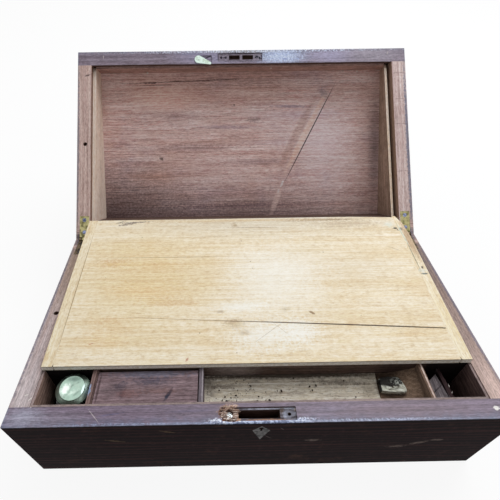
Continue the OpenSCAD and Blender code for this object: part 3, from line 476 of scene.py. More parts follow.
# %% [markdown]
# ## The case
#
# The case boards are mahogany with an old, nearly black polish on the outside. The rims, where
# lid and base meet, were never polished as dark: they are pink-brown and handled smooth, and the
# long front arris is rubbed, with a blue-grey sheen painted on it. One function serves base and
# lid. It looks at where a point lies on the closed box: on the outside, on the rim's plane or inside.

# %% Outer faces of the closed box
HALF_HEIGHT = HINGE.z / MM
DEPTH = (HINGE.y - FRONT_Y) / MM
SIDE = HALF_WIDTH / MM


def outside_mask(tree, point, opening, skin=0.35):
    """1 on the outer faces of the closed box, to a depth of skin."""
    closed = use(tree, board_frame, Vector=point, Origin=HINGE, Tilt=opening)
    across = maths(tree, "ABSOLUTE", closed["Across"])
    height = maths(tree, "ABSOLUTE", closed["Height"])
    faces = [
        ramp(tree, across, SIDE - skin, SIDE - skin / 2),
        ramp(tree, closed["Along"], -skin, -skin / 2),
        ramp(tree, closed["Along"], skin - DEPTH, skin / 2 - DEPTH),
        ramp(tree, height, HALF_HEIGHT - skin, HALF_HEIGHT - skin / 2),
    ]
    mask = faces[0]
    for face in faces[1:]:
        mask = maths(tree, "MAXIMUM", mask, face)
    return mask


print("closed box", round(2 * SIDE, 1), "by", round(DEPTH, 1), "by", round(2 * HALF_HEIGHT, 1), "mm")

# %% [markdown]
# ## Polish, beds and worn edges
#
# The outside was stained dark and polished. The beds that were cut into the rims for the lock
# and its hook were never finished, and every edge that a hand slides over is rubbed. Each board
# could be given its own paint. These helpers measure from the edges instead, so that all
# boards are worn in the same way, as one pair of hands would do it.

# %% Parts of the case's finish
RIM_TONES = ((132, 102, 96), (186, 156, 147), (212, 186, 178))
RAIL_TONES = ((65, 53, 61), (104, 90, 104), (129, 114, 131))
# The lock rail's tones are paler than the wood's own, to carry part of its painted sheen.
LOCK_SHEEN_TONES = ((84, 72, 80), (122, 108, 120), (156, 144, 158))
POLISH = (20, 10, 13)
POLISH_FIGURE = (50, 29, 29)
BARE = (96, 74, 64)
EDGE_TONE = (150, 132, 128)
# The rubbed band's bluish tone is a painted sheen, where the worn polish mirrors the light.
RUBBED_SHEEN_TONE = (108, 108, 130)
# How far in from an edge the wear and the painted sheen begin, and where they are full, in millimetres.
SIDE_WEAR, LOCK_WEAR, RUBBED_SHEEN_BAND = (2.2, 0.3), (2.6, 0.5), (10, 1)


def old_polish(tree, place, wood, seed):
    """Nearly black polish with a little figure, worn in large and in small clouds."""
    polish = tint(tree, ramp(tree, wood["Figure"], 0.45, 0.85), POLISH, POLISH_FIGURE)
    polish = stain(tree, place, polish, (104, 74, 62), 0.30, 22.0, seed + 5, 0.58, 0.80)
    return stain(tree, place, polish, (66, 44, 44), 0.35, 7.0, seed + 6, 0.52, 0.75)


def bed_floor(tree, place, wood, bare, dark, sunk, bed, bed_marks):
    """Lays the floor of a bed, and what lies on it, on the bare wood. bed is its depth and tone."""
    depth, tone = bed
    off_floor = maths(tree, "ABSOLUTE", maths(tree, "SUBTRACT", sunk, depth))
    on_floor = ramp(tree, off_floor, 0.14, 0.08)
    floor_tone = tint(tree, times(tree, ramp(tree, wood["Mottle"], 0.6, 0.4), 0.5), tone, dark)
    bare = tint(tree, on_floor, bare, floor_tone)
    return lay_marks(tree, place, bare, bed_marks, on_floor)


def rub_edges(tree, where, colour, seed, on_rim, near_rim, rubbed_sheen, edge_tone):
    """Wears a rim: a cool band along the lock side, which paints the sheen of the light there, then the frayed
    arrises of three sides.
    """
    # Painted bluish sheen along the lock side's arris.
    if rubbed_sheen:
        start, full = RUBBED_SHEEN_BAND
        band = times(tree, ramp(tree, where["Along"], start - RIM_LENGTH, full - RIM_LENGTH), on_rim)
        uneven = cloud(tree, where["Place"], 8.0, seed + 9, 0.3, 0.6)
        colour = tint(tree, times(tree, times(tree, band, uneven), rubbed_sheen), colour, RUBBED_SHEEN_TONE)
    across = maths(tree, "ABSOLUTE", where["Across"])
    sides = ramp(tree, across, SIDE - SIDE_WEAR[0], SIDE - SIDE_WEAR[1])
    lock = ramp(tree, where["Along"], LOCK_WEAR[0] - RIM_LENGTH, LOCK_WEAR[1] - RIM_LENGTH)
    frayed = cloud(tree, where["Place"], 6.0, seed + 7, 0.35, 0.6)
    edge = times(tree, times(tree, maths(tree, "MAXIMUM", sides, lock), frayed), near_rim)
    return tint(tree, times(tree, edge, 0.75), colour, edge_tone)


print("made", [helper.__name__ for helper in (old_polish, bed_floor, rub_edges)])

# %% [markdown]
# ## The case's material
#
# One function puts these together for a board of the base or the lid. Separate materials for
# rim and face would need the solid's faces to be told apart. The masks do it by where a point
# lies, so the border between polish and bare rim can be soft and uneven, as it is in reality.

# %% Case material
def case_wood(name, opening, turn, seed, tones=RIM_TONES, marks=(), scuffs=(), rubbed_sheen=0.0,
              edge_tone=EDGE_TONE, inside=BARE, bed=None, bed_marks=(), flakes=()):
    """Case board. marks lie on the rim, scuffs on the front face, rubbed_sheen paints a bluish sheen up the front
    arris.

    bed is the depth and tone of the floors let into the rim, bed_marks what lies on them, and
    flakes are regions of torn wood: centre, radii, colour and size.
    """
    material, tree, point, where, wood, rim = start_wood(
        name, HINGE, SLOPE + opening, tones, turn, seed, ring_gap=6.5, wander=0.8, mottle=0.5)
    place = where["Place"]
    rim = stain(tree, place, rim, tones[2], 0.35, 30.0, seed + 3)
    face = use(tree, board_frame, Vector=point, Origin=HINGE, Tilt=math.pi / 2 + opening)
    polish = lay_marks(tree, face["Place"], old_polish(tree, place, wood, seed), scuffs)
    sunk = maths(tree, "ABSOLUTE", where["Height"])
    bare = tint(tree, times(tree, ramp(tree, wood["Fibre"], 0.65, 0.3), 0.5), inside, tones[0])
    if bed:
        bare = bed_floor(tree, place, wood, bare, tones[0], sunk, bed, bed_marks)
    on_rim = ramp(tree, sunk, 0.5, 0.2)
    near_rim = ramp(tree, sunk, 1.4, 0.4)
    outside = outside_mask(tree, point, opening)
    colour = tint(tree, outside, bare, polish)
    colour = tint(tree, on_rim, colour, rim)
    colour = rub_edges(tree, where, colour, seed, on_rim, near_rim, rubbed_sheen, edge_tone)
    colour = lay_marks(tree, place, colour, marks, near_rim)
    for centre, radii, paint, size in flakes:
        colour = lay_flakes(tree, place, colour, centre, radii, paint, size, seed + centre[0], near_rim)
    shine = times(tree, maths(tree, "MAXIMUM", on_rim, times(tree, outside, 0.04)), 0.45)
    return finish_wood(material, tree, colour, wood, 0.62, shine, specular=0.01)


print("made", case_wood.__name__)

# %% [markdown]
# ## The rim of the base's front board
#
# This rim is the darkest and the most handled, and its long arris is rubbed, with a blue-grey
# sheen painted on it. Each table counts back from the front edge, one line a mark, in the order in
# which `lay_marks` reads them: centre, radii, angle, colour, strength, softness, fraying. The soft
# bluish marks paint that sheen from place to place, and flakes are the crisp chips along its edge,
# painted bluish white where they catch the light.

# %% Front rim
QUARTER = math.pi / 2
FRONT_EDGE = -RIM_LENGTH
WHITE_CHIP = (228, 224, 218)
PALE_SCRATCH = (196, 186, 184)


def from_front(marks):
    """Marks whose places are counted back from the front edge of a rim."""
    return shifted(marks, 0, FRONT_EDGE)


rail_marks_and_sheen = from_front([
    ((-143.8, 8.8), (10.8, 0.45), -47, PALE_SCRATCH, 0.6, 0.6, 0.15),
    # The bluish rows paint the sheen of the light on the rim, palest at the far left, and the last two paint
    # highlights along the arris.
    ((-130, 10), (16, 1.2), 8, (84, 82, 112), 0.5, 0.8, 0.5),
    ((-60, 12), (34, 2.2), 2, (90, 84, 108), 0.45, 0.9, 0.6),
    ((60, 11), (26, 4.0), 3, (122, 116, 136), 0.4, 0.9, 0.6),
    ((-176, 6), (44, 14), 0, (132, 126, 138), 0.5, 1.0, 0.4),
    ((120, 9), (90, 14), 0, (108, 90, 96), 0.5, 1.0, 0.4),
    ((-27, 10), (11.5, 9.5), 0, (150, 112, 86), 0.85, 0.55, 0.75),
    ((-204, 9), (26, 15), 0, (158, 156, 172), 0.85, 1.0, 0.4),
    ((-199.5, 20), (2.8, 0.9), 65, WHITE_CHIP, 0.9, 0.4, 0.9),
    ((203, 9.5), (3.4, 2.2), 10, WHITE_CHIP, 0.9, 0.4, 0.8),
    ((-2, 1.2), (56, 2.4), 0, (112, 124, 158), 0.9, 0.6, 0.6),
    ((30, 1.0), (190, 1.0), 0, (120, 128, 154), 0.6, 0.6, 1.0),
])
rail_chips_and_glints = from_front([
    # Bluish-white flakes are chips painted as the light they catch; the warm and dark ones are torn wood.
    ((-2, 1.4), (60, 4.2), (184, 196, 228), 2.4),
    ((-30, 2.6), (22, 3.4), (226, 232, 246), 2.6),
    ((34, 2.4), (16, 3.0), (206, 214, 234), 2.2),
    ((-27, 12), (12, 8), (216, 190, 170), 1.5),
    ((-33, 9), (6, 8), (104, 66, 44), 1.8),
    ((90, 1.4), (90, 1.6), (160, 166, 188), 2.0),
    ((-120, 1.2), (80, 1.4), (140, 146, 172), 2.4),
])
print("marks", len(rail_marks_and_sheen), "and flakes", len(rail_chips_and_glints), "on the front rim")

# %% [markdown]
# ## The lock's bed and the front face
#
# The lock was pulled out of its bed, which left ragged pale wood round one screw. The bed's
# floor is flat and unpolished, so its marks are laid only at its own depth. The face below the
# rim keeps its polish, with a few scuffs where the box knocked against things.

# %% Lock bed and front face
lock_bed_marks_and_shade = from_front([
    ((26, 8.5), (9, 9), 0, (120, 120, 130), 0.9, 0.5, 0.3),
    ((4, 13.6), (27, 0.8), 0, (176, 180, 196), 0.65, 0.6, 0.9),
    ((4, 4.4), (23, 0.9), 0, (52, 38, 34), 0.8, 0.6, 0.9),
    ((30, 12), (3, 2), 0, (170, 156, 140), 0.7, 0.6, 0.9),
    ((-27, 8.5), (10, 9), 0, (136, 88, 60), 0.9, 0.4, 0.6),
    ((-20, 5), (3, 5), 0, (196, 160, 136), 0.7, 0.6, 0.8),
    ((2, 3.4), (24, 1.2), 0, (150, 118, 100), 0.8, 0.5, 0.8),
    ((18, 12), (3, 4), 0, (96, 78, 62), 0.6, 0.7, 0.8),
    ((20, 7.6), (2.4, 4.6), 0, (156, 160, 176), 0.7, 0.7, 0.8),
    ((28.6, 5.8), (4.2, 1.8), 12, (66, 58, 62), 0.8, 0.6, 0.9),
    ((27.4, 11.4), (5.2, 1.4), -6, (78, 70, 72), 0.7, 0.6, 0.9),
    # The black line at the bed's right end and the blue-black spot paint the shade at its end wall and in a screw
    # hole.
    ((33.2, 8), (0.7, 7), 4, (22, 20, 26), 0.95, 0.3, 0.3),
    ((23.8, 8), (1.5, 1.5), 0, (14, 18, 28), 0.95, 0.3, 0.2),
])
SCUFF = (116, 102, 96)
front_scuffs = [
    ((49, 4), (9, 4.2), 4, SCUFF, 0.9, 0.9, 0.7),
    ((132, 26), (13, 5.0), -8, SCUFF, 0.7, 0.9, 0.8),
    ((150, 17), (13, 4.0), -28, SCUFF, 0.9, 0.9, 0.8),
    ((165, 10), (9, 3.4), 0, SCUFF, 0.8, 0.9, 0.8),
    ((-82, -25), (9, 2.0), 25, (98, 80, 62), 0.6, 0.6, 0.9),
    ((-130, -3), (12, 2.4), 20, (92, 76, 58), 0.6, 0.6, 0.9),
    ((18, -27), (4.5, 0.4), 60, (130, 122, 120), 0.6, 0.5, 0.1),
    ((7, -7), (7, 0.4), 50, (118, 110, 106), 0.6, 0.5, 0.1),
]
# rubbed_sheen of 0.75 paints a strong bluish sheen up the arris, and the bluish edge tone paints its highlight.
dress("base_front",
      case_wood("front board", 0.0, 0.0, 1.0, RAIL_TONES, rail_marks_and_sheen, front_scuffs, 0.75, (120, 126, 148),
                bed=(1.5, (108, 104, 110)), bed_marks=lock_bed_marks_and_shade, flakes=rail_chips_and_glints))

# %% [markdown]
# ## The sides and back of the base
#
# The side rims are paler towards the lock, where hands rest, and on the left rim that pale grey is
# a painted sheen. Near the hinges they are painted darker as shade, with a near-black line for the
# shadow in the gap between lid and base, and the back board is painted dark at both hinge ends.
# Their grain runs back along the board, so it's turned by a quarter. Marks on a side rim lie within
# a strip 16 mm wide, and long thin ones along its outer edge stand for a rubbed arris.

# %% Base sides and back
left_side_marks_sheen_and_shade = [
    ((-211, -44), (16, 120), 0, (152, 128, 110), 0.85, 1.0, 0.3),
    # Pale grey towards the lock paints the sheen of the light on the rim.
    ((-211, FRONT_EDGE + 26), (16, 76), 0, (192, 182, 184), 0.6, 0.9, 0.3),
    ((-203.5, FRONT_EDGE + 26), (2.4, 0.7), 60, WHITE_CHIP, 0.7, 0.4, 0.8),
    # The near-black line paints the shadow in the gap between lid and base.
    ((-211, -1.2), (14, 2.6), 0, (16, 14, 18), 0.95, 0.4, 0.3),
    ((-208, FRONT_EDGE + 30), (2.2, 0.8), 20, WHITE_CHIP, 0.7, 0.4, 0.6),
    ((-218.8, -120), (1.8, 150), 0, (108, 106, 120), 0.8, 0.7, 0.9),
    # Painted shade by the hinge.
    ((-211, -9), (14, 10), 0, (76, 70, 80), 0.85, 0.9, 0.4),
]
right_side_marks_and_shade = [
    ((213, -44), (13, 66), 0, (104, 92, 90), 0.65, 1.0, 0.4),
    ((211, FRONT_EDGE + 16), (16, 70), 0, (204, 176, 166), 0.75, 1.0, 0.3),
    ((218.8, -130), (2.2, 150), 0, (104, 98, 114), 0.8, 0.7, 0.9),
    # Painted shade by the hinge.
    ((211, -9), (14, 9), 0, (74, 68, 78), 0.85, 0.9, 0.4),
    ((206, -120), (3, 90), 0, (150, 124, 108), 0.5, 1.0, 0.5),
    # The near-black line paints the shadow in the gap between lid and base.
    ((211, -1.2), (14, 2.6), 0, (16, 14, 18), 0.95, 0.4, 0.3),
]
base_hinge_end_shade = [
    # Dark patches painted as shade at the hinge ends.
    ((-212, -5), (13, 14), 0, (66, 62, 72), 0.9, 0.7, 0.4),
    ((212, -5), (13, 14), 0, (78, 72, 84), 0.85, 0.7, 0.4),
]
dress("base_back", case_wood("back board", 0.0, 0.0, 2.0, marks=base_hinge_end_shade))
dress("base_side_left",
      case_wood("left side board", 0.0, QUARTER, 3.0, ((116, 96, 92), (168, 147, 143), (194, 178, 177)),
                left_side_marks_sheen_and_shade))
dress("base_side_right",
      case_wood("right side board", 0.0, QUARTER, 4.0, ((96, 72, 64), (134, 112, 102), (154, 132, 124)),
                right_side_marks_and_shade))

# %% [markdown]
# ## The lid's lock rail
#
# This rim meets the front board when the box is shut. It faces the light, and the cool sheen that
# it carries is painted: broad bluish marks, pale flakes and tones paler than the wood's own. The
# hook plate is gone, and what is left is its bed, two slots and a few screw holes. Only the large
# ones are in the solid, and the small ones are painted as black spots, for the shade inside them.

# %% Lid lock rail
lock_rail_marks_and_sheen = from_front([
    # The broad bluish rows paint the sheen of the light on the rail.
    ((-40, 9), (74, 16), 0, (158, 152, 178), 0.85, 0.9, 0.4),
    ((52, 9), (56, 16), 0, (180, 194, 226), 0.95, 0.9, 0.4),
    ((118, 9), (54, 16), 0, (168, 162, 188), 0.9, 0.9, 0.4),
    ((176, 9), (54, 16), 0, (160, 152, 164), 0.85, 0.9, 0.4),
    ((-70, 4), (30, 3), 0, (132, 132, 158), 0.5, 0.9, 0.5),
    ((-186, 7), (0.8, 3), 0, PALE_SCRATCH, 0.7, 0.5, 0.3),
    ((197, 6), (0.8, 3), 20, PALE_SCRATCH, 0.7, 0.5, 0.3),
    # A pale highlight painted along the top edge.
    ((0, 1.8), (60, 1.8), 0, (196, 194, 194), 0.8, 0.6, 0.9),
])
lock_rail_flakes_and_sheen = from_front([
    # Pale bluish flakes paint highlights and the sheen broken up; the dark ones break it up.
    ((20, 1.4), (240, 3.0), (214, 222, 240), 2.2),
    ((52, 9), (44, 12), (206, 216, 240), 2.4),
    ((-2, 9), (44, 12), (60, 52, 62), 1.6),
])
hook_bed_marks_and_shade = from_front([
    ((-2.5, 14.9), (31, 1.0), 0, (38, 30, 38), 0.85, 0.5, 0.5),
    ((-2.5, 4.0), (31, 0.9), 0, (58, 48, 58), 0.8, 0.5, 0.9),
    ((-32, 9.4), (1.0, 6), 0, (38, 30, 38), 0.85, 0.5, 0.4),
    ((27.4, 9.4), (1.2, 6), 0, (38, 30, 38), 0.85, 0.5, 0.6),
    # Black spots paint the shade inside small screw holes.
    ((-27.5, 9.4), (1.5, 2.1), 0, (10, 10, 14), 0.95, 0.3, 0.1),
    ((-21.5, 9.4), (1.5, 2.1), 0, (10, 10, 14), 0.95, 0.3, 0.1),
    ((20.5, 8.4), (2.4, 2.4), 0, (10, 10, 14), 0.95, 0.4, 0.6),
    ((24.5, 11), (1.6, 2.0), 0, (10, 10, 14), 0.95, 0.3, 0.4),
    # Round the catch the recess floor takes the rail's tone, and the dark crescent paints the shadow at its wall.
    ((-55, 12), (20, 14), 0, (140, 132, 150), 0.9, 0.3, 0.2),
    ((-46.5, 9), (9.5, 1.5), -24, (38, 32, 42), 0.9, 0.6, 0.3),
])
# rubbed_sheen of 0.2 and the bluish edge tone paint a sheen and a highlight along the arris.
dress("lid_front",
      case_wood("lid lock rail", OPENING, 0.0, 5.0, LOCK_SHEEN_TONES, lock_rail_marks_and_sheen, (), 0.2, (96, 100, 124),
                bed=(1.175, (150, 140, 152)), bed_marks=hook_bed_marks_and_shade, flakes=lock_rail_flakes_and_sheen))

# %% [markdown]
# ## The lid's sides and hinge board
#
# The right side shows a wavy figure, which on the real board is a ripple in the fibres. Noise
# gives no such rhythm, so the waves are pairs of short slanted marks, dark and light in turn. A
# near-black line at the hinges paints the shadow in the gap between lid and base, and dark patches
# at the hinge board's ends paint shade. The sides' inside faces are painted paler than bare wood,
# as the light in the cavity behind the strips.

# %% Lid sides and hinge board
lid_left_marks_and_shade = [
    # The near-black line paints the shadow in the gap between lid and base.
    ((-211, -1.2), (14, 2.6), 0, (16, 14, 18), 0.95, 0.4, 0.3),
    ((-207, FRONT_EDGE + 32), (6, 1.6), -14, (84, 66, 66), 0.9, 0.7, 0.7),
    ((-218.6, -120), (1.8, 150), 0, (132, 130, 142), 0.7, 0.6, 1.0),
    ((-210, -26), (9, 0.6), -62, (208, 192, 186), 0.5, 0.6, 0.2),
    ((-213, -34), (10, 0.6), -66, (124, 98, 90), 0.5, 0.6, 0.2),
]
WAVE_DARK, WAVE_LIGHT = (138, 110, 106), (222, 206, 204)
lid_right_marks_and_shade = [
    # The near-black line paints the shadow in the gap between lid and base.
    ((211, -1.2), (14, 2.6), 0, (16, 14, 18), 0.95, 0.4, 0.3),
    ((218.2, -120), (2.8, 150), 0, (122, 124, 142), 0.85, 0.6, 1.0),
    ((212, -14), (12, 10), 0, (150, 142, 160), 0.7, 0.8, 0.6),
]
for step, (back, bend) in enumerate(((34, 8), (40, 10), (70, 6), (76, 9), (104, 5), (140, -7), (168, 8))):
    wave = (WAVE_DARK, WAVE_LIGHT)[step % 2]
    lid_right_marks_and_shade.append(((206.5, FRONT_EDGE + back), (5.5, 0.7), -bend, wave, 0.6, 0.6, 0.25))
    lid_right_marks_and_shade.append(((214.5, FRONT_EDGE + back), (5.5, 0.7), bend, wave, 0.6, 0.6, 0.25))
lid_hinge_end_shade = [
    # Dark patches painted as shade at the hinge ends.
    ((-214, -3), (9, 8), 0, (62, 58, 66), 0.9, 0.7, 0.4),
    ((213, -3), (10, 9), 0, (112, 112, 130), 0.8, 0.7, 0.5),
]
dress("lid_back", case_wood("lid hinge board", OPENING, 0.0, 6.0, marks=lid_hinge_end_shade))
# The inside tones of both lid sides are paler than bare wood and paint the light in the cavity behind the strips.
dress("lid_side_left",
      case_wood("lid left side", OPENING, QUARTER, 7.0, RIM_TONES, lid_left_marks_and_shade, inside=(130, 104, 90)))
dress("lid_side_right",
      case_wood("lid right side", OPENING, QUARTER, 8.0, ((150, 124, 118), (198, 173, 168), (222, 200, 196)),
                lid_right_marks_and_shade, inside=(176, 146, 126)))

# %% [markdown]
# ## The top board and its ceiling
#
# Inside the lid, the ceiling is the finest wood of the box: wide, purple-brown mahogany with a
# long figure. Somebody once levelled it with a scraper held aslant, which left one pale band
# with a dark line along its edge. The broad rows below paint light and shade: darker along the
# hinge end, in the left corner there and down the right edge, and a pale, greyish sheen across
# the middle. The thin ones are streaks of figure, the scraped band and a few dents.

# %% Marks on the ceiling
ceiling_marks_and_light = [
    # Broad rows paint shade at the hinge end, in the left corner there and down the right edge, and a pale greyish
    # sheen across the middle.
    ((0, -10), (300, 82), 0, (134, 112, 110), 0.9, 1.0, 0.3),
    ((-190, -14), (170, 128), 0, (76, 60, 60), 0.9, 1.0, 0.3),
    ((-120, -205), (90, 34), 0, (200, 158, 146), 0.5, 1.0, 0.4),
    ((120, -110), (70, 90), 0, (226, 208, 212), 0.45, 1.0, 0.4),
    ((-40, -2), (300, 44), 0, (92, 74, 75), 0.75, 1.0, 0.4),
    ((-40, -196), (190, 22), 1, (196, 148, 136), 0.45, 1.0, 0.5),
    ((-100, -168), (70, 12), 2, (140, 112, 116), 0.45, 1.0, 0.6),
    ((-20, -128), (120, 9), 0, (176, 128, 112), 0.4, 1.0, 0.6),
    ((30, -100), (110, 8), -1, (140, 118, 124), 0.4, 1.0, 0.6),
    ((0, -218), (160, 20), 0, (150, 116, 110), 0.5, 1.0, 0.4),
    ((110, -140), (90, 64), 0, (232, 214, 218), 0.55, 1.0, 0.4),
    ((192, -120), (14, 120), 0, (132, 114, 116), 0.7, 1.0, 0.3),
    ((-110, -190), (80, 32), 0, (236, 196, 184), 0.65, 1.0, 0.5),
    ((84, -166), (92, 11), -1, (206, 184, 196), 0.55, 1.0, 0.6),
    ((60, -127), (110, 7), 1, (210, 188, 194), 0.5, 1.0, 0.7),
    ((-80, -121), (110, 9), 0, (146, 114, 114), 0.45, 1.0, 0.7),
    ((-110, -80), (80, 14), 0, (184, 136, 116), 0.4, 1.0, 0.7),
    ((-20, -57), (120, 7), 1, (184, 150, 148), 0.45, 1.0, 0.7),
    ((0, -37), (150, 5), -1, (104, 82, 88), 0.55, 1.0, 0.7),
    ((40, -160), (80, 34), 0, (214, 188, 188), 0.45, 1.0, 0.5),
    ((-60, -90), (90, 30), 0, (200, 166, 160), 0.45, 1.0, 0.5),
    ((70, -178), (46, 3), 2, (158, 136, 156), 0.6, 0.9, 0.6),
    ((-20, -150), (66, 4), 1, (158, 134, 150), 0.5, 0.9, 0.6),
    ((80.5, -140), (70, 8.5), 117.5, (176, 136, 122), 0.5, 0.6, 0.2),
    ((91.4, -138.7), (80, 5.4), 117.5, (232, 200, 184), 0.55, 0.5, 0.15),
    ((73, -141), (62, 0.7), 117.5, (226, 200, 188), 0.45, 0.5, 0.1),
    ((97.5, -138.7), (90, 0.9), 117.5, (52, 36, 34), 0.9, 0.35, 0.1),
    ((118, -197), (13, 9), 60, (150, 134, 138), 0.6, 0.9, 0.8),
    ((50, -46), (30, 5.5), 110, (222, 192, 184), 0.5, 0.5, 0.4),
    ((58, -68), (7, 1.6), 115, (216, 204, 204), 0.9, 0.4, 0.9),
    ((53, -58), (4, 1.4), 100, (216, 204, 204), 0.8, 0.4, 0.9),
    ((-84, -214.8), (106, 0.7), -1.5, (62, 40, 38), 0.75, 0.6, 0.9),
    ((-128, -213.2), (18, 1.6), 1, (48, 24, 24), 0.85, 0.7, 1.0),
    ((-92, -215.2), (14, 1.1), -3, (56, 28, 28), 0.8, 0.7, 1.0),
    ((-34, -216.4), (30, 1.0), -1.5, (70, 42, 40), 0.7, 0.7, 0.9),
    ((-120, -210), (40, 0.8), -1, (76, 50, 46), 0.6, 0.6, 0.7),
    ((-10, -181), (1.8, 1.2), 0, (66, 48, 46), 0.8, 0.5, 0.4),
    ((18, -160), (14, 5), 0, (122, 102, 102), 0.5, 0.8, 0.9),
    ((-116, -106), (4, 3), 30, (60, 44, 42), 0.7, 0.5, 0.9),
]
print("marks on the ceiling", len(ceiling_marks_and_light))

# %% [markdown]
# ## The top board's material
#
# The outside of the same board has the case's black polish. Its upper edges are rounded more
# than the other boards', so the mask for the outside reaches deeper here.

# %% Top board
CEILING_TONES = ((142, 104, 97), (224, 188, 182), (242, 216, 213))
ROUNDED_SKIN = 2.0


def ceiling_wood():
    """Bare figured mahogany below, old polish outside."""
    material, tree, point, where, wood, colour = start_wood(
        "top board", HINGE, OPENING, CEILING_TONES, 0.0, 11.0, ring_gap=15.0, wander=0.8, pore_depth=0.4,
        fibre_depth=0.6, ring_depth=0.1, mottle=0.6, streak=0.5)
    place = where["Place"]
    colour = stain(tree, place, colour, (186, 140, 124), 0.4, 70.0, 14.0, 0.4, 0.7)
    colour = stain(tree, place, colour, (170, 150, 166), 0.35, 48.0, 16.0, 0.5, 0.75)
    colour = lay_marks(tree, place, colour, ceiling_marks_and_light)
    dust = use(tree, specks, Place=place, Gap=9.0, Size=0.06, Share=0.4)["Mask"]
    colour = tint(tree, times(tree, dust, 0.5), colour, (206, 190, 186))
    outside = outside_mask(tree, point, OPENING, ROUNDED_SKIN)
    polish = tint(tree, ramp(tree, wood["Figure"], 0.45, 0.85), POLISH, POLISH_FIGURE)
    polish = stain(tree, place, polish, (84, 66, 58), 0.35, 34.0, 12.0, 0.55, 0.85)
    colour = tint(tree, outside, colour, polish)
    shine = times(tree, outside, 0.25)
    return finish_wood(material, tree, colour, wood, 0.7, shine, worn=0.36)


dress("lid_top", ceiling_wood())

# %% [markdown]
# ## The flap
#
# The flap is pale softwood, bare on this side, with grain along its width and a narrow cleat
# across each end. Most of what makes it look old is colour: warmer, browner wood at the left,
# a bleached and scuffed middle whose whitest patches also paint the sheen of the light there, a
# few stains, and a grey smudge at the back. Its edge faces are painted pale as a highlight. Its
# marks are measured from the fold, with y running back, so the free edge lies at a negative y.

# %% Flap material
FLAP_TONES = ((196, 170, 132), (224, 206, 172), (236, 226, 204))
flap_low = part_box("flap_board")[0]
FREE_EDGE = (flap_low.y - FOLD.y) / math.cos(FLAP_TILT) / MM
FLAP_TOP = 6.0


def flap_wood(name, seed, turn=0.0, tones=FLAP_TONES, marks=()):
    """Bare softwood. Its edge faces are painted pale and streaked as a highlight, with a dark line under the
    edge's rounding.
    """
    material, tree, point, where, wood, colour = start_wood(
        name, FOLD, FLAP_TILT, tones, turn, seed, ring_gap=7.0, wander=0.5, pore_size=1.2, pore_depth=0.2,
        fibre_depth=0.24, ring_depth=0.05, mottle=0.7, streak=0.16)
    place = where["Place"]
    colour = stain(tree, place, colour, (216, 190, 146), 0.3, 46.0, seed + 2, 0.45, 0.7)
    colour = stain(tree, place, colour, (198, 174, 134), 0.42, 7.0, seed + 4, 0.48, 0.72)
    colour = stain(tree, place, colour, (244, 236, 218), 0.4, 10.0, seed + 6, 0.5, 0.72)
    colour = lay_marks(tree, place, colour, marks)
    dirt = use(tree, specks, Place=place, Gap=11.0, Size=0.06, Share=0.35)["Mask"]
    colour = tint(tree, times(tree, dirt, 0.55), colour, (120, 98, 74))
    at_ends = times(tree, ramp(tree, where["Height"], FLAP_TOP - 0.25, FLAP_TOP - 0.9),
                    ramp(tree, where["Height"], 0.05, 0.3))
    # The edge faces are painted pale grey-white, a highlight on faces that turn away from the light.
    edge_face_highlight = tint(tree, ramp(tree, wood["Mottle"], 0.4, 0.6), (222, 210, 192), (252, 250, 244))
    colour = tint(tree, times(tree, at_ends, 0.95), colour, edge_face_highlight)
    rounded = times(tree, at_ends, ramp(tree, where["Height"], FLAP_TOP - 1.9, FLAP_TOP - 1.2))
    colour = tint(tree, times(tree, rounded, 0.6), colour, (96, 74, 58))
    return finish_wood(material, tree, colour, wood, 0.72, depth=0.0001, specular=0.2, worn=0.26)


def from_edge(marks):
    """Marks whose places are counted back from the flap's free edge."""
    return shifted(marks, 0, FREE_EDGE)


print("free edge", round(FREE_EDGE, 1), "mm from the fold")

# %% [markdown]
# ## What has happened to the flap
#
# The rows run from broad to fine: warm and bleached areas, then rubbed clouds, whose white in the
# middle also paints the sheen there, brown spots, the line of the split, pencil strokes and dots.
# A picture of a board would have given all this at once, but it would belong to another board.
# Rows can be set down where this one has them.

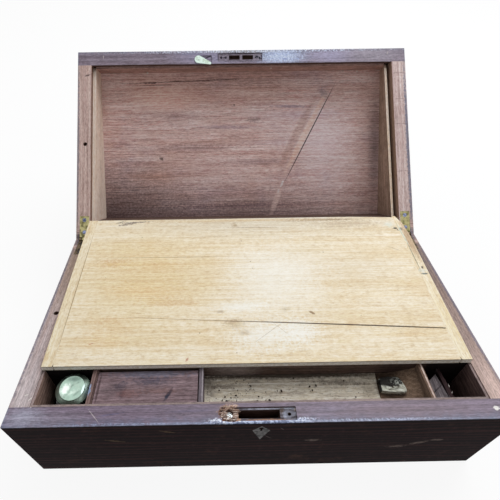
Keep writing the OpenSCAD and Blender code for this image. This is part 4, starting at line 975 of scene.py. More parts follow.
# %% Marks on the flap
# Worn whitish patches, which in the middle of the flap also paint the white sheen of the light.
WORN_WHITE_AND_SHEEN = (238, 236, 228)
flap_marks = from_edge([
    ((-120, 110), (120, 130), 0, (216, 192, 140), 0.55, 1.0, 0.3),
    ((24, 96), (80, 90), 0, (244, 244, 238), 0.4, 1.0, 0.5),
    ((20, 206), (280, 50), 0, (202, 194, 178), 0.6, 1.0, 0.3),
    ((-110, 130), (66, 34), 4, (212, 174, 118), 0.24, 1.0, 0.6),
    ((-158, 132), (28, 11), 2, (200, 158, 104), 0.5, 1.0, 0.9),
    ((-92, 74), (46, 10), -4, (206, 170, 120), 0.4, 1.0, 0.9),
    ((-146, 52), (30, 8), 6, (208, 174, 128), 0.4, 1.0, 0.9),
    ((60, 150), (44, 16), 0, (214, 196, 160), 0.4, 1.0, 0.9),
    ((138, 78), (40, 12), 5, (238, 226, 202), 0.4, 1.0, 0.9),
    ((120, 24), (46, 12), 0, (236, 224, 200), 0.45, 1.0, 0.8),
    ((-120, 90), (60, 18), -3, (222, 190, 140), 0.4, 1.0, 0.6),
    ((-150, 30), (34, 22), 0, (216, 184, 136), 0.4, 1.0, 0.6),
    ((40, 120), (90, 60), 0, WORN_WHITE_AND_SHEEN, 0.42, 1.0, 0.4),
    ((10, 30), (56, 26), 8, WORN_WHITE_AND_SHEEN, 0.75, 1.0, 0.9),
    ((44, 34), (30, 24), 0, WORN_WHITE_AND_SHEEN, 0.7, 0.9, 0.9),
    ((-14, 66), (40, 10), 4, WORN_WHITE_AND_SHEEN, 0.6, 0.9, 0.8),
    ((-20, 46), (14, 8), 0, (166, 140, 104), 0.6, 0.9, 1.0),
    ((-10, 34), (8, 5), 0, (176, 152, 118), 0.5, 0.9, 1.0),
    ((-34, 60), (5, 2), 0, (150, 124, 92), 0.5, 0.8, 1.0),
    ((34, 62), (8, 5), 30, (186, 170, 140), 0.4, 0.9, 0.9),
    ((60.5, 57), (4.6, 1.8), -38, (150, 120, 84), 0.85, 0.6, 0.6),
    ((124, 120), (66, 40), 0, (220, 208, 186), 0.45, 1.0, 0.5),
    ((130, 196), (60, 9), 2, (176, 152, 122), 0.5, 0.9, 0.8),
    ((96, 205), (66, 3.5), 0, (150, 124, 92), 0.6, 0.8, 1.0),
    ((-20, 206), (150, 3), 0, (200, 170, 128), 0.6, 0.8, 0.9),
    ((-142, 205), (24, 1.7), 4, (106, 96, 92), 0.85, 0.7, 0.9),
    ((-152, 201.6), (17, 2.6), 12, (130, 118, 110), 0.85, 0.8, 0.9),
    ((-160, 206), (7, 1.3), 24, (96, 86, 80), 0.7, 0.6, 0.9),
    ((-97, 141), (88, 0.5), -0.3, (148, 120, 82), 0.7, 0.5, 0.2),
    ((76, 42.7), (118, 0.75), -3.4, (84, 60, 42), 0.85, 0.5, 0.2),
    ((-60, 50.6), (88, 0.5), -3.4, (146, 114, 80), 0.6, 0.6, 0.3),
    ((10, 192), (36, 0.7), -1, (150, 122, 88), 0.75, 0.5, 0.7),
    ((-40, 176), (30, 0.6), -2, (168, 142, 106), 0.6, 0.6, 0.8),
    ((-120, 60), (12, 1.4), -8, (190, 156, 116), 0.6, 0.9, 0.9),
    ((-108, 55), (34, 0.35), 1, (150, 118, 80), 0.6, 0.6, 0.2),
    ((-14, 197), (6, 7), 0, (172, 150, 118), 0.7, 0.9, 0.9),
    ((182, 193), (9, 7), 0, (214, 218, 206), 0.7, 0.8, 0.7),
    ((187.4, 186), (4.6, 1.7), 12, (38, 44, 42), 0.9, 0.6, 0.9),
    ((190.6, 183), (2.6, 2.4), -20, (58, 66, 64), 0.85, 0.6, 0.9),
    ((174, 150), (12, 1.8), -30, (164, 140, 108), 0.4, 0.8, 0.8),
    ((14, 34), (24, 0.35), 38, (150, 132, 108), 0.5, 0.5, 0.1),
    ((26, 38), (14, 0.35), -46, (160, 144, 120), 0.5, 0.5, 0.1),
    ((0, 2.2), (200, 1.8), 0, (232, 220, 192), 0.6, 0.6, 0.9),
    ((-160, 24), (4, 0.8), 20, (176, 104, 72), 0.6, 0.5, 0.6),
    ((-66, 5), (3, 1.2), 60, (172, 96, 66), 0.6, 0.5, 0.6),
])
dress("flap_board", flap_wood("flap board", 21.0, 0.0, FLAP_TONES, flap_marks))

# %% [markdown]
# ## The cleats
#
# A cleat across each end keeps a wide thin board flat. Its grain runs the other way, and the
# joint between the two collects dirt, so each has a thin line along it. The right one has gone
# green-brown at its upper end.

# %% Cleats
cleat_tones = ((186, 160, 124), (222, 205, 174), (234, 222, 194))
right_cleat_marks = from_edge([
    ((194.5, 185), (3.4, 3.4), 0, (108, 120, 122), 0.85, 0.6, 0.6),
    ((196, 108.5), (5, 1.6), 0, (84, 96, 100), 0.85, 0.6, 0.8),
    ((198, 164), (5.4, 50), 0, (182, 154, 124), 0.85, 0.7, 0.4),
    ((193.6, 140), (0.8, 38), 0, (104, 104, 92), 0.7, 0.6, 0.6),
    ((197, 118), (1.6, 2.6), 0, (70, 66, 60), 0.85, 0.5, 0.5),
    ((195, 113), (6, 4), 0, (206, 206, 194), 0.7, 0.7, 0.8),
    ((193, 176), (1.5, 26), 3, (196, 204, 190), 0.7, 0.6, 0.6),
    ((200, 40), (2.5, 60), 0, (220, 194, 140), 0.5, 0.9, 0.4),
    ((193.3, 60), (0.9, 60), 0, (238, 226, 190), 0.5, 0.6, 0.4),
])
left_cleat_marks = from_edge([
    ((-191, 100), (0.5, 100), 0, (140, 114, 78), 0.8, 0.4, 0.2),
    ((-198, 190), (4, 20), 0, (202, 172, 124), 0.5, 0.8, 0.5),
    ((-200, 10), (4, 12), 0, (206, 178, 130), 0.5, 0.8, 0.5),
])
dress("flap_cleat_left", flap_wood("left cleat", 22.0, QUARTER, cleat_tones, left_cleat_marks))
dress("flap_cleat_right", flap_wood("right cleat", 23.0, QUARTER, cleat_tones, right_cleat_marks))

# %% [markdown]
# ## Strips, dividers and floors
#
# The inside of a writing box is made of thin secondary wood that was hardly finished. Left
# bare, it greys and takes up dirt and ink. One function makes all of these boards from three
# tones, a direction of grain and how dirty they are, and each then gets a line of its own.

# %% Inside board material
GREY_DIRT = (58, 52, 54)


def inner_wood(name, opening, turn, seed, tones, dirt=0.3, marks=(), flecks=0.0, tilt=None, lit=None):
    """Bare inside board. dirt is the share of grime and flecks the share of dark crumbs.

    lit is the depth below the rim down to which the board's edge is painted pale, as a highlight where it is also
    worn, and its tone.
    """
    angle = SLOPE + opening if tilt is None else tilt
    material, tree, point, where, wood, colour = start_wood(
        name, HINGE, angle, tones, turn, seed, ring_gap=5.0, wander=0.6)
    colour = stain(tree, where["Place"], colour, GREY_DIRT, dirt, 16.0, seed + 1, 0.45, 0.7)
    if lit:
        # The pale top edge is a painted highlight, laid where the board is also worn.
        worn = ramp(tree, maths(tree, "ABSOLUTE", where["Height"]), lit[0] + 0.5, lit[0])
        patchy = add(tree, "ShaderNodeMapRange", Value=wood["Mottle"], From_Min=0.3, From_Max=0.55,
                     To_Min=0.5, To_Max=0.95).outputs["Result"]
        colour = tint(tree, times(tree, worn, patchy), colour, lit[1])
    colour = lay_marks(tree, where["Place"], colour, marks)
    if flecks:
        fine = cloud(tree, where["Place"], 1.6, seed + 2, 0.60, 0.68)
        colour = tint(tree, times(tree, fine, flecks), colour, (70, 56, 46))
    return finish_wood(material, tree, colour, wood, 0.75)


print("made", inner_wood.__name__)

# %% [markdown]
# ## Strips and floors
#
# The strips in the lid carry the flap's edges. Their upper edge is painted pale, as the light that
# it catches and the rubbing of the flap. The left strip's paler tones partly paint the light that falls
# on it from the right. The one at the hinges lies in the flap's shade and is nearly brown. The
# floors of the base have darker tones again.

# %% Strips and floors
PALE_STRIP_AND_LIGHT = ((186, 158, 140), (226, 204, 188), (240, 224, 210))
BROWN_STRIP = ((120, 92, 76), (160, 132, 110), (178, 152, 130))
BROWN_INNER = ((66, 48, 44), (98, 76, 70), (120, 98, 90))
DIM_INNER = ((40, 30, 30), (62, 48, 46), (80, 64, 60))

# The left strip's tones are paler than the right's, partly as painted light; lit paints its pale top edge.
dress("lid_ledge_left",
      inner_wood("lid left strip", OPENING, QUARTER, 31.0, PALE_STRIP_AND_LIGHT, 0.15, lit=(8.2, (236, 220, 206))))
dress("lid_ledge_right",
      inner_wood("lid right strip", OPENING, QUARTER, 32.0,
                 ((126, 102, 88), (172, 146, 128), (194, 170, 152)), 0.25, lit=(8.25, (246, 228, 208))))
dress("lid_ledge_back",
      inner_wood("lid hinge strip", OPENING, 0.0, 33.0, ((58, 42, 38), (84, 66, 58), (104, 84, 76)), 0.3))
dress("lid_ledge_front",
      inner_wood("lid lock strip", OPENING, 0.0, 34.0,
                 ((110, 80, 74), (178, 142, 134), (200, 164, 156)), 0.3))
dress("base_ledge_left base_ledge_right",
      inner_wood("paper space sides", 0.0, QUARTER, 35.0, BROWN_STRIP, 0.35))
dress("base_ledge_back", inner_wood("paper space back", 0.0, 0.0, 36.0, BROWN_STRIP, 0.35))
dress("base_bottom", inner_wood("bottom board", 0.0, 0.0, 37.0, DIM_INNER, 0.4, tilt=0.0))
dress("well_floor", inner_wood("well floor", 0.0, 0.0, 38.0, DIM_INNER, 0.5, flecks=0.5, tilt=0.0))

# %% [markdown]
# ## The well's rail and linings
#
# The rail under the flap's free edge is in shade at both ends and catches light in the middle.
# The lamps give part of that, and broad marks paint the rest: near-black shade at both ends and a
# paler patch of light in the middle. The linings' tops are painted pale to a depth of about a
# millimetre, as the light that they catch and the wear of a hand reaching in.

# %% Rail and linings
RAIL_Y = (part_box("well_rail")[0].y - HINGE.y) / math.cos(SLOPE) / MM
rail_painted_shade_and_light = [
    # Near-black rows paint the shade at both ends, the pale row the light in the middle.
    ((-178, RAIL_Y), (32, 40), 0, (10, 10, 14), 0.95, 0.4, 0.2),
    ((-22, RAIL_Y), (34, 40), 0, (150, 138, 134), 0.75, 0.9, 0.4),
    ((134, RAIL_Y), (24, 40), 0, (50, 38, 34), 0.6, 0.9, 0.3),
    ((182, RAIL_Y), (28, 40), 0, (16, 13, 15), 0.95, 0.4, 0.2),
]
# Depth of the pale top edge of linings and dividers, a painted highlight over some wear.
WORN_AND_LIT_TOP = 1.2
dress("well_rail",
      inner_wood("well rail", 0.0, 0.0, 39.0, ((54, 42, 38), (92, 74, 66), (112, 94, 84)), 0.35,
                 rail_painted_shade_and_light))
dress("well_lining_left",
      inner_wood("well left lining", 0.0, QUARTER, 40.0, ((84, 62, 56), (150, 120, 108), (170, 142, 130)),
                 0.3, lit=(WORN_AND_LIT_TOP, (150, 134, 132))))
dress("well_lining_right",
      inner_wood("well right lining", 0.0, QUARTER, 41.0, ((60, 46, 44), (112, 90, 86), (134, 110, 106)), 0.3,
                 lit=(WORN_AND_LIT_TOP, (138, 122, 120))))
dress("well_lining_front",
      inner_wood("well front lining", 0.0, 0.0, 42.0, ((50, 40, 38), (80, 66, 62), (98, 82, 78)), 0.2,
                 lit=(WORN_AND_LIT_TOP, (150, 134, 130))))

# %% [markdown]
# ## The dividers
#
# Three thin dividers part the well. Seen from above each is a narrow top, so what tells them
# apart is one line along it: ink on the first, bare wood along the last. The lines are placed
# from the solids' own boxes, so that they stay on the tops.

# %% Dividers
def top_middle(name):
    """A divider's middle across the box, its half thickness and its middle along the rim."""
    low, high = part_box(name)
    along = ((low.y + high.y) / 2 - HINGE.y) / math.cos(SLOPE) / MM
    return (low.x + high.x) / 2 / MM, (high.x - low.x) / 2 / MM, along


ink_x, ink_half, ink_y = top_middle("ink_divider")
pen_x, pen_half, pen_y = top_middle("pen_divider")
end_x, end_half, end_y = top_middle("end_divider")
ink_spills_and_glint = [
    ((ink_x + ink_half - 0.8, ink_y), (0.9, 60), 0, (62, 46, 46), 0.8, 0.5, 0.3),
    # A bluish-white spot on the lining is a painted highlight.
    ((-153.4, -216.6), (1.8, 6), 0, (150, 170, 204), 0.8, 0.6, 1.0),
]
pen_line = [((pen_x + pen_half - 0.9, pen_y), (0.7, 60), 0, (158, 150, 154), 0.7, 0.5, 0.6)]
end_line = [((end_x + end_half - 1.3, end_y), (0.9, 60), 0, (214, 196, 186), 0.85, 0.5, 0.4)]
print("divider tops, half thickness", round(ink_half, 2), round(pen_half, 2), round(end_half, 2), "mm")
dress("ink_divider",
      inner_wood("ink divider", 0.0, QUARTER, 43.0, BROWN_INNER, 0.3, ink_spills_and_glint,
                 lit=(WORN_AND_LIT_TOP, (124, 102, 98))))
dress("pen_divider",
      inner_wood("pen divider", 0.0, QUARTER, 44.0, ((84, 72, 76), (112, 100, 104), (130, 120, 124)), 0.3,
                 pen_line, lit=(WORN_AND_LIT_TOP, (98, 90, 96))))
dress("end_divider",
      inner_wood("end divider", 0.0, QUARTER, 45.0, ((92, 74, 62), (136, 114, 98), (150, 128, 112)), 0.2,
                 end_line, lit=(WORN_AND_LIT_TOP, (98, 78, 66))))
dress("cover_rests tray_bearers", inner_wood("bearers", 0.0, QUARTER, 46.0, DIM_INNER, 0.3))

# %% [markdown]
# ## The well's cover
#
# The cover has lain beside the inkwell for a lifetime, and it shows: ink has run along its back
# edge and dried blue-black, and one pen was wiped on it. All are marks on thin dark wood.

# %% Well cover
WELL_FRONT = -(HINGE.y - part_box("well_cover")[0].y) / math.cos(SLOPE) / MM
WELL_BACK = -(HINGE.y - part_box("well_cover")[1].y) / math.cos(SLOPE) / MM
cover_marks = [
    ((-100, WELL_BACK - 2), (52, 6), 0, (106, 106, 122), 0.75, 0.8, 0.9),
    ((-98, WELL_BACK - 10), (26, 6), 0, (66, 68, 86), 0.5, 0.9, 1.0),
    ((-126, WELL_BACK - 15), (8, 8), 0, (58, 56, 68), 0.5, 0.9, 1.0),
    ((-124, WELL_FRONT + 9), (4, 6), 0, (46, 44, 54), 0.6, 0.8, 0.9),
    ((-82, WELL_FRONT + 8), (10, 2.2), 62, (44, 48, 62), 0.9, 0.6, 0.5),
    ((-90, WELL_FRONT + 12), (24, 5), 0, (128, 96, 90), 0.4, 0.9, 0.9),
    ((-118, WELL_FRONT + 10), (16, 7), 0, (122, 84, 78), 0.45, 0.9, 0.9),
    ((-146, WELL_FRONT + 15), (1.4, 20), 0, (58, 44, 44), 0.7, 0.6, 0.4),
]
COVER_TONES = ((84, 66, 68), (122, 102, 106), (142, 122, 126))
dress("well_cover", inner_wood("well cover", 0.0, 0.0, 51.0, COVER_TONES, 0.35, cover_marks, 0.12))

# %% [markdown]
# ## The pen tray and the loose slips
#
# The tray's floor is hollowed from pale wood and lies under dust and crumbs, and it is painted
# darkest along its back. A darker patch at its left end and two in the scoop behind the scrap are
# painted shade. It lies level while the rim slopes, so its frame has no tilt. The right-hand
# compartment holds slips of a broken board, with a black gap beside them where the light doesn't
# reach, painted as a near-black stripe on the slips.

# %% Tray, scoop and slips
TRAY_BACK = (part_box("tray_floor")[1].y - HINGE.y) / MM
tray_marks_and_shade = [
    # A darker patch at the tray's left end paints shade.
    ((-46, WELL_BACK - 6), (10, 16), 0, (108, 98, 92), 0.6, 0.9, 0.6),
    ((30, TRAY_BACK - 1.0), (150, 4.6), 0, (60, 49, 42), 0.9, 0.7, 0.4),
    ((106, WELL_BACK - 12), (12, 22), 0, (136, 122, 104), 0.5, 0.9, 0.6),
    ((78, TRAY_BACK - 8.5), (34, 3.4), -2, (92, 80, 70), 0.65, 0.9, 1.0),
    ((-30, TRAY_BACK - 10), (24, 3.0), 3, (104, 90, 78), 0.55, 0.9, 1.0),
]
scoop_painted_shade = [
    # Both rows paint the shade in the scoop behind the scrap.
    ((114, TRAY_BACK - 10), (10, 16), 0, (46, 36, 30), 0.75, 0.9, 0.5),
    ((122, TRAY_BACK - 2), (22, 6), 0, (50, 38, 32), 0.8, 0.8, 0.5),
]
TRAY_TONES = ((156, 142, 126), (216, 206, 188), (232, 224, 208))
dress("tray_floor", inner_wood("tray floor", 0.0, 0.0, 52.0, TRAY_TONES, 0.16, tray_marks_and_shade, 0.7, tilt=0.0))
dress("tray_scoop",
      inner_wood("tray scoop", 0.0, 0.0, 53.0, ((84, 66, 54), (124, 102, 86), (140, 118, 100)), 0.35,
                 scoop_painted_shade, 0.3, tilt=0.0))
slip_marks_and_gap_shadow = [
    # A near-black stripe paints the shadow in the gap beside the slips.
    ((175, WELL_FRONT + 16), (3.4, 30), 0, (40, 26, 27), 0.95, 0.2, 0.1),
    ((163, WELL_FRONT + 12), (14, 0.7), 38, (36, 30, 32), 0.8, 0.5, 0.4),
    ((164, WELL_FRONT + 2), (9, 4), 0, (150, 140, 142), 0.7, 0.8, 0.7),
    ((156.8, WELL_FRONT + 10), (0.8, 12), 0, (168, 158, 156), 0.6, 0.6, 0.6),
]
dress("broken_slips",
      inner_wood("broken slips", 0.0, QUARTER, 54.0, ((44, 38, 40), (84, 77, 80), (108, 100, 102)), 0.3,
                 slip_marks_and_gap_shadow))

# %% [markdown]
# ## Brass and steel
#
# Old brass isn't one colour. Where fingers reach, it stays pale and bright, and in corners it
# goes green-brown and dull. A cloud mask mixes the two, and roughness follows the same mask, so
# that the dull places also stop mirroring. Steel screws differ only in their tones.

# %% Old metal
def old_metal(name, bright, dull, seed, rough=(0.28, 0.62), size=6.0, marks=(), metallic=1.0,
              opening=0.0, tilt=None):
    """Tarnished metal. Clouds of the given size take it from bright to dull, and roughness with it."""
    material = bpy.data.materials.new(name)
    material.use_nodes = True
    tree = material.node_tree
    tree.nodes.clear()
    point = add(tree, "ShaderNodeTexCoord").outputs["Object"]
    angle = SLOPE + opening if tilt is None else tilt
    place = use(tree, board_frame, Vector=point, Origin=HINGE, Tilt=angle)["Place"]
    dull_places = cloud(tree, place, size, seed, 0.42, 0.62)
    fine = cloud(tree, place, size / 7, seed + 1, 0.5, 0.75)
    tarnish = maths(tree, "ADD", dull_places, times(tree, fine, 0.35), clamp=True)
    colour = tint(tree, tarnish, bright, dull)
    colour = lay_marks(tree, place, colour, marks)
    level = add(tree, "ShaderNodeMapRange", Value=tarnish, To_Min=rough[0], To_Max=rough[1]).outputs["Result"]
    bump = add(tree, "ShaderNodeBump", Strength=0.3, Distance=0.00004, Height=fine)
    shader = add(tree, "ShaderNodeBsdfPrincipled", Base_Color=colour, Roughness=level, Normal=bump.outputs[0],
                 Metallic=metallic)
    add(tree, "ShaderNodeOutputMaterial", Surface=shader.outputs[0])
    return material


print("made", old_metal.__name__)

# %% [markdown]
# ## Hinges, screws, catch and plates
#
# The base's hinge leaves and their screws are given the darkest tones, the lid's leaves lie in the
# light, and the catch has been turned by fingers and is nearly white. The keyhole plate is so dark
# that it's hardly metal any more, so its metallic value is low. One function and a pair of tones
# serve them all.

# %% Hinges, screws, catch and plates
dress("base_hinge_left base_hinge_right",
      old_metal("base hinge brass", (108, 92, 72), (58, 50, 44), 61.0))
dress("lid_hinge_left lid_hinge_right",
      old_metal("lid hinge brass", (176, 168, 122), (116, 110, 76), 62.0, opening=OPENING))
dress("lid_hinge_screws", old_metal("screw steel", (150, 158, 190), (84, 88, 110), 63.0, size=3.0))
dress("base_hinge_screws hinge_pins",
      old_metal("dark screw steel", (84, 80, 82), (44, 42, 46), 63.5, size=3.0))
dress("turn_catch catch_screw",
      old_metal("catch brass", (212, 230, 222), (168, 182, 168), 64.0, opening=OPENING))
dress("lock_screw", old_metal("lock screw steel", (168, 172, 172), (96, 96, 96), 65.0, size=2.4))
dress("keyhole_plate",
      old_metal("keyhole plate brass", (44, 38, 38), (22, 20, 21), 66.0, size=4.0, metallic=0.35,
                rough=(0.45, 0.7)))
dress("inkwell_collar", old_metal("collar brass", (150, 152, 120), (84, 92, 76), 67.0))

# %% [markdown]
# ## The inkwell's cap
#
# The cap has a low crown, dented and polished by the thumb. The pale and the dull patches that
# the thumb left are marks, and two round ones draw the line round the crown. The white spots at
# the left and the arc at the right of the crown are painted highlights, and the darker grey across
# its back is painted shade. Those don't move with the camera; the rest of what the brass mirrors
# is left to the render.

# %% Inkwell cap
cap_low, cap_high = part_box("inkwell_cap")
CAP_X = (cap_low.x + cap_high.x) / 2 / MM
CAP_Y = ((cap_low.y + cap_high.y) / 2 - HINGE.y) / MM
CROWN_R = 12.0
cap_marks_and_painted_light = shifted([
    # This row and the one at (1, 8.5) paint shade across the back of the cap.
    ((0, 12), (17, 8), 0, (104, 118, 110), 0.8, 0.9, 0.2),
    ((14, -2), (4, 12), 0, (126, 146, 142), 0.6, 0.9, 0.2),
    ((0, 0), (CROWN_R + 0.5, CROWN_R + 0.5), 0, (120, 134, 124), 0.8, 0.06, 0.02),
    ((0, 0), (CROWN_R, CROWN_R), 0, (164, 188, 174), 1.0, 0.08, 0.02),
    ((1, 8.5), (11, 4.4), 0, (104, 122, 114), 0.85, 0.9, 0.3),
    ((3, 4), (7, 1.2), 28, (116, 134, 124), 0.7, 0.8, 0.9),
    ((5, -5), (5, 1.6), 40, (124, 142, 132), 0.6, 0.8, 0.9),
    ((-1, 1), (1.2, 6), -30, (120, 138, 128), 0.6, 0.8, 0.9),
    ((-7, -7), (4, 1.2), -40, (128, 144, 134), 0.6, 0.8, 0.9),
    # The next three rows are painted highlights.
    ((-6, -1), (5, 7.5), -20, (246, 254, 248), 0.95, 0.8, 0.6),
    ((1, -4), (6, 3), 30, (222, 238, 226), 0.6, 0.9, 0.9),
    ((10.2, -1), (1.3, 6.5), -8, (226, 250, 246), 0.95, 0.5, 0.3),
    ((4, 2), (3, 6), 40, (178, 198, 184), 0.6, 0.8, 0.9),
], CAP_X, CAP_Y)
dress("inkwell_cap",
      old_metal("cap brass", (150, 168, 156), (112, 130, 118), 68.0, rough=(0.3, 0.5), size=4.0,
                marks=cap_marks_and_painted_light, tilt=0.0))

# %% [markdown]
# ## The inkwell's glass
#
# The bottle is thick pressed glass with dried ink inside. The film could be a second skin in
# the solid. Roughness that comes and goes in clouds gives the same milky look with no skin.

# %% Inkwell glass
def plain_shader(name, **values):
    """A material with one principled shader, with its inputs named as in `add`."""
    material = bpy.data.materials.new(name)
    material.use_nodes = True
    shader = material.node_tree.nodes["Principled BSDF"]
    for key, value in values.items():
        feed(material.node_tree, shader.inputs[key.replace("_", " ")], value)
    return material, material.node_tree, shader


def ink_glass():
    """Thick old glass, with a film of dried ink that roughens it in clouds."""
    material, tree, shader = plain_shader(
        "inkwell glass", Base_Color=(206, 226, 220), Transmission_Weight=1.0, IOR=1.48)
    point = add(tree, "ShaderNodeTexCoord").outputs["Object"]
    where = use(tree, board_frame, Vector=point, Origin=HINGE, Tilt=0.0)
    film = cloud(tree, where["Place"], 9.0, 71.0)
    level = add(tree, "ShaderNodeMapRange", Value=film, To_Min=0.04, To_Max=0.3).outputs["Result"]
    tree.links.new(level, shader.inputs["Roughness"])
    return material


dress("inkwell_glass", ink_glass())

# %% [markdown]
# ## The fold's leather
#
# The flap turns on a bead of leather, creased and dry. Its pebbles could be displaced, but
# they are smaller than a millimetre. Cells of a smooth Voronoi texture give both their colour,
# paler on the crowns, and the bump.

# %% Fold leather
def fold_leather():
    """Worn leather: fine pebbles from cells, paler on their crowns."""
    material, tree, shader = plain_shader("fold leather", Roughness=0.7)
    point = add(tree, "ShaderNodeTexCoord").outputs["Object"]
    where = use(tree, board_frame, Vector=point, Origin=FOLD, Tilt=FLAP_TILT)
    cells = add(tree, "ShaderNodeTexVoronoi", {"feature": "SMOOTH_F1"}, Vector=where["Place"], Scale=1.4)
    pebble = ramp(tree, cells.outputs["Distance"], 0.55, 0.1)
    worn = cloud(tree, where["Place"], 14.0, 72.0)
    colour = tint(tree, pebble, (62, 44, 34), (96, 70, 52))
    colour = tint(tree, times(tree, worn, 0.5), colour, (138, 108, 80))
    tree.links.new(colour, shader.inputs["Base Color"])
    bump = add(tree, "ShaderNodeBump", Strength=0.6, Distance=0.0002, Height=pebble)
    tree.links.new(bump.outputs[0], shader.inputs["Normal"])
    return material


dress("flap_fold", fold_leather())

# %% [markdown]
# ## The small broken pieces
#
# Some of what the eye takes for age is shape, not colour. A scrap with a chipped, varnished
# crown lies in the scoop, the jammed slip ends in pale splinters, the wood round the lock
# screw was torn up when the lock was pulled out, crumbs lie in the tray, and nails hold a
# strip. Each is a mesh of its own, built where it lies, and rides on the body under it.

# %% Helpers for pieces
def on_board(across, along, height, tilt):
    """A point of a board's frame in the scene's metres, which undoes the board frame group."""
    return HINGE + Matrix.Rotation(-tilt, 3, "X") @ (Vector((across, along, height)) * MM)


def make_piece(name, mesh, body, material):
    """Turns a bmesh in scene coordinates into an object that rides on a body."""
    data = bpy.data.meshes.new(name)
    bmesh.ops.recalc_face_normals(mesh, faces=mesh.faces)
    mesh.to_mesh(data)
    mesh.free()
    data.materials.append(material)
    piece = bpy.data.objects.new(name, data)
    bpy.context.scene.collection.objects.link(piece)
    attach(piece, body)
    print(name, "rides on", body, "with", len(data.polygons), "faces")
    return piece


print("a point of the rim", [round(value, 4) for value in on_board(0, FRONT_EDGE, 0, SLOPE)])

# %% [markdown]
# ## The chipped scrap: its shape
#
# A chip of board has a flat foot, a broken outline and a crown that is no longer flat. Sculpting
# it would do, but can't be repeated. Here an outline is stacked in rings from foot to crown,
# each a little smaller, and noise shakes every corner. It leans on the scoop as the solid does,
# by an angle that is worked out from the solid's height.

# %% Scrap shape
def rough_slab(corners, rings, shake, seed):
    """A broken slab in millimetres, built of rings from foot to crown and shaken by noise."""
    outline = []
    for start, end in zip(corners, corners[1:] + corners[:1]):
        outline += [Vector(start).lerp(Vector(end), step / 5) for step in range(5)]
    mesh = bmesh.new()
    loops = []
    for share, height in rings:
        loop = []
        for corner in outline:
            point = Vector((corner.x * share, corner.y * share, height))
            push = noise.noise_vector(point * 0.45 + Vector((seed, 0, 0))) * shake
            loop.append(mesh.verts.new(point + push))
        loops.append(loop)
    count = len(outline)
    for lower, upper in zip(loops, loops[1:]):
        for i in range(count):
            mesh.faces.new((lower[i], lower[(i + 1) % count], upper[(i + 1) % count], upper[i]))
    mesh.faces.new(list(reversed(loops[0])))
    mesh.faces.new(loops[-1])
    return mesh


scrap_low, scrap_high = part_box("tray_scrap")
SCRAP_T = 5.5
SCRAP_HALF = 12.0
SCRAP_LEAN = math.asin(((scrap_high.z - scrap_low.z) / MM - SCRAP_T) / (2 * SCRAP_HALF))
SCRAP_X = (scrap_low.x + scrap_high.x) / 2 / MM
SCRAP_Y = ((scrap_low.y + scrap_high.y) / 2 - HINGE.y) / MM
scrap_corners = [
    (-12, -5.0), (-6, -6.8), (2, -7.9), (9, -8.5), (11.6, -7.2), (11.9, -4.4), (10.6, 0.5),
    (8.8, 5.2), (5.0, 8.0), (-3, 8.4), (-9.5, 8.1), (-12, 6.5), (-12, 0.5),
]
scrap_rings = [
    (0.97, 0.3), (1.0, 1.6), (0.99, 3.4), (0.95, 4.6), (0.88, 5.2), (0.72, 5.0), (0.5, 5.3),
    (0.28, 4.9), (0.08, 5.1),
]
# Blender seeds its noise from the clock. A fixed seed shakes the corners alike in every run.
NOISE_SEED = 4
noise.seed_set(NOISE_SEED)
scrap = rough_slab(scrap_corners, scrap_rings, 0.45, 4.0)
seat_height = scrap_low.z + SCRAP_HALF * math.sin(SCRAP_LEAN) * MM
seat = Vector((SCRAP_X * MM, (scrap_low.y + scrap_high.y) / 2, seat_height))
scrap.transform(Matrix.Translation(seat) @ Matrix.Rotation(-SCRAP_LEAN, 4, "Y") @ Matrix.Scale(MM, 4))
print("the scrap leans", round(math.degrees(SCRAP_LEAN), 1), "degrees")

# %% [markdown]
# ## The chipped scrap: its finish
#
# Half of the crown still has its black varnish and the rest is weathered grey wood. Two marks
# lay the varnish and two regions of flakes break its border. The piece takes the place of the
# plain solid, which stays in the model for its weight and its contacts.

# %% Scrap finish
def varnished_scrap():
    """Pale weathered wood with black varnish left on its back half."""
    material, tree, point, where, wood, colour = start_wood(
        "varnished scrap", HINGE, 0.0, ((120, 116, 104), (190, 188, 174), (226, 228, 216)), 0.15, 55.0,
        ring_gap=3.0, mottle=0.8)
    place = where["Place"]
    colour = lay_flakes(tree, place, colour, (SCRAP_X, SCRAP_Y - 2), (11, 4), (84, 78, 68), 2.4, 3.0)
    colour = lay_marks(tree, place, colour, [
        ((SCRAP_X - 1, SCRAP_Y + 4.8), (14, 7.2), 0, (26, 22, 22), 0.97, 0.2, 0.5),
        ((SCRAP_X - 12, SCRAP_Y), (1.4, 10), 0, (20, 18, 18), 0.95, 0.5, 0.2),
    ])
    colour = lay_flakes(tree, place, colour, (SCRAP_X + 4, SCRAP_Y + 2.4), (8, 5), (158, 160, 152), 2.6, 6.0)
    return finish_wood(material, tree, colour, wood, 0.6, depth=0.0003)


scrap_piece = make_piece("chipped_scrap", scrap, "base", varnished_scrap())
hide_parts("tray_scrap")

# %% [markdown]
# ## A splinter
#
# A splinter is a sliver with two sharp ends. Hair particles would make them too even, and each
# would be a tube. Eight triangles round a girth of four corners give the right shape, and
# wood with strong mottle and no sheen is its finish.

# %% Splinters
def add_splinter(mesh, start, end, width, thickness):
    """Adds a thin splinter with two sharp ends to a bmesh."""
    along = (end - start).normalized()
    side = along.cross(Vector((0, 0, 1))).normalized()
    up = side.cross(along)
    middle = start.lerp(end, 0.4)
    girth = [mesh.verts.new(middle + offset) for offset in
             (side * width / 2, up * thickness / 2, -side * width / 2, -up * thickness / 2)]
    first, last = mesh.verts.new(start), mesh.verts.new(end)
    for i in range(4):
        mesh.faces.new((girth[i], girth[(i + 1) % 4], last))
        mesh.faces.new((girth[(i + 1) % 4], girth[i], first))


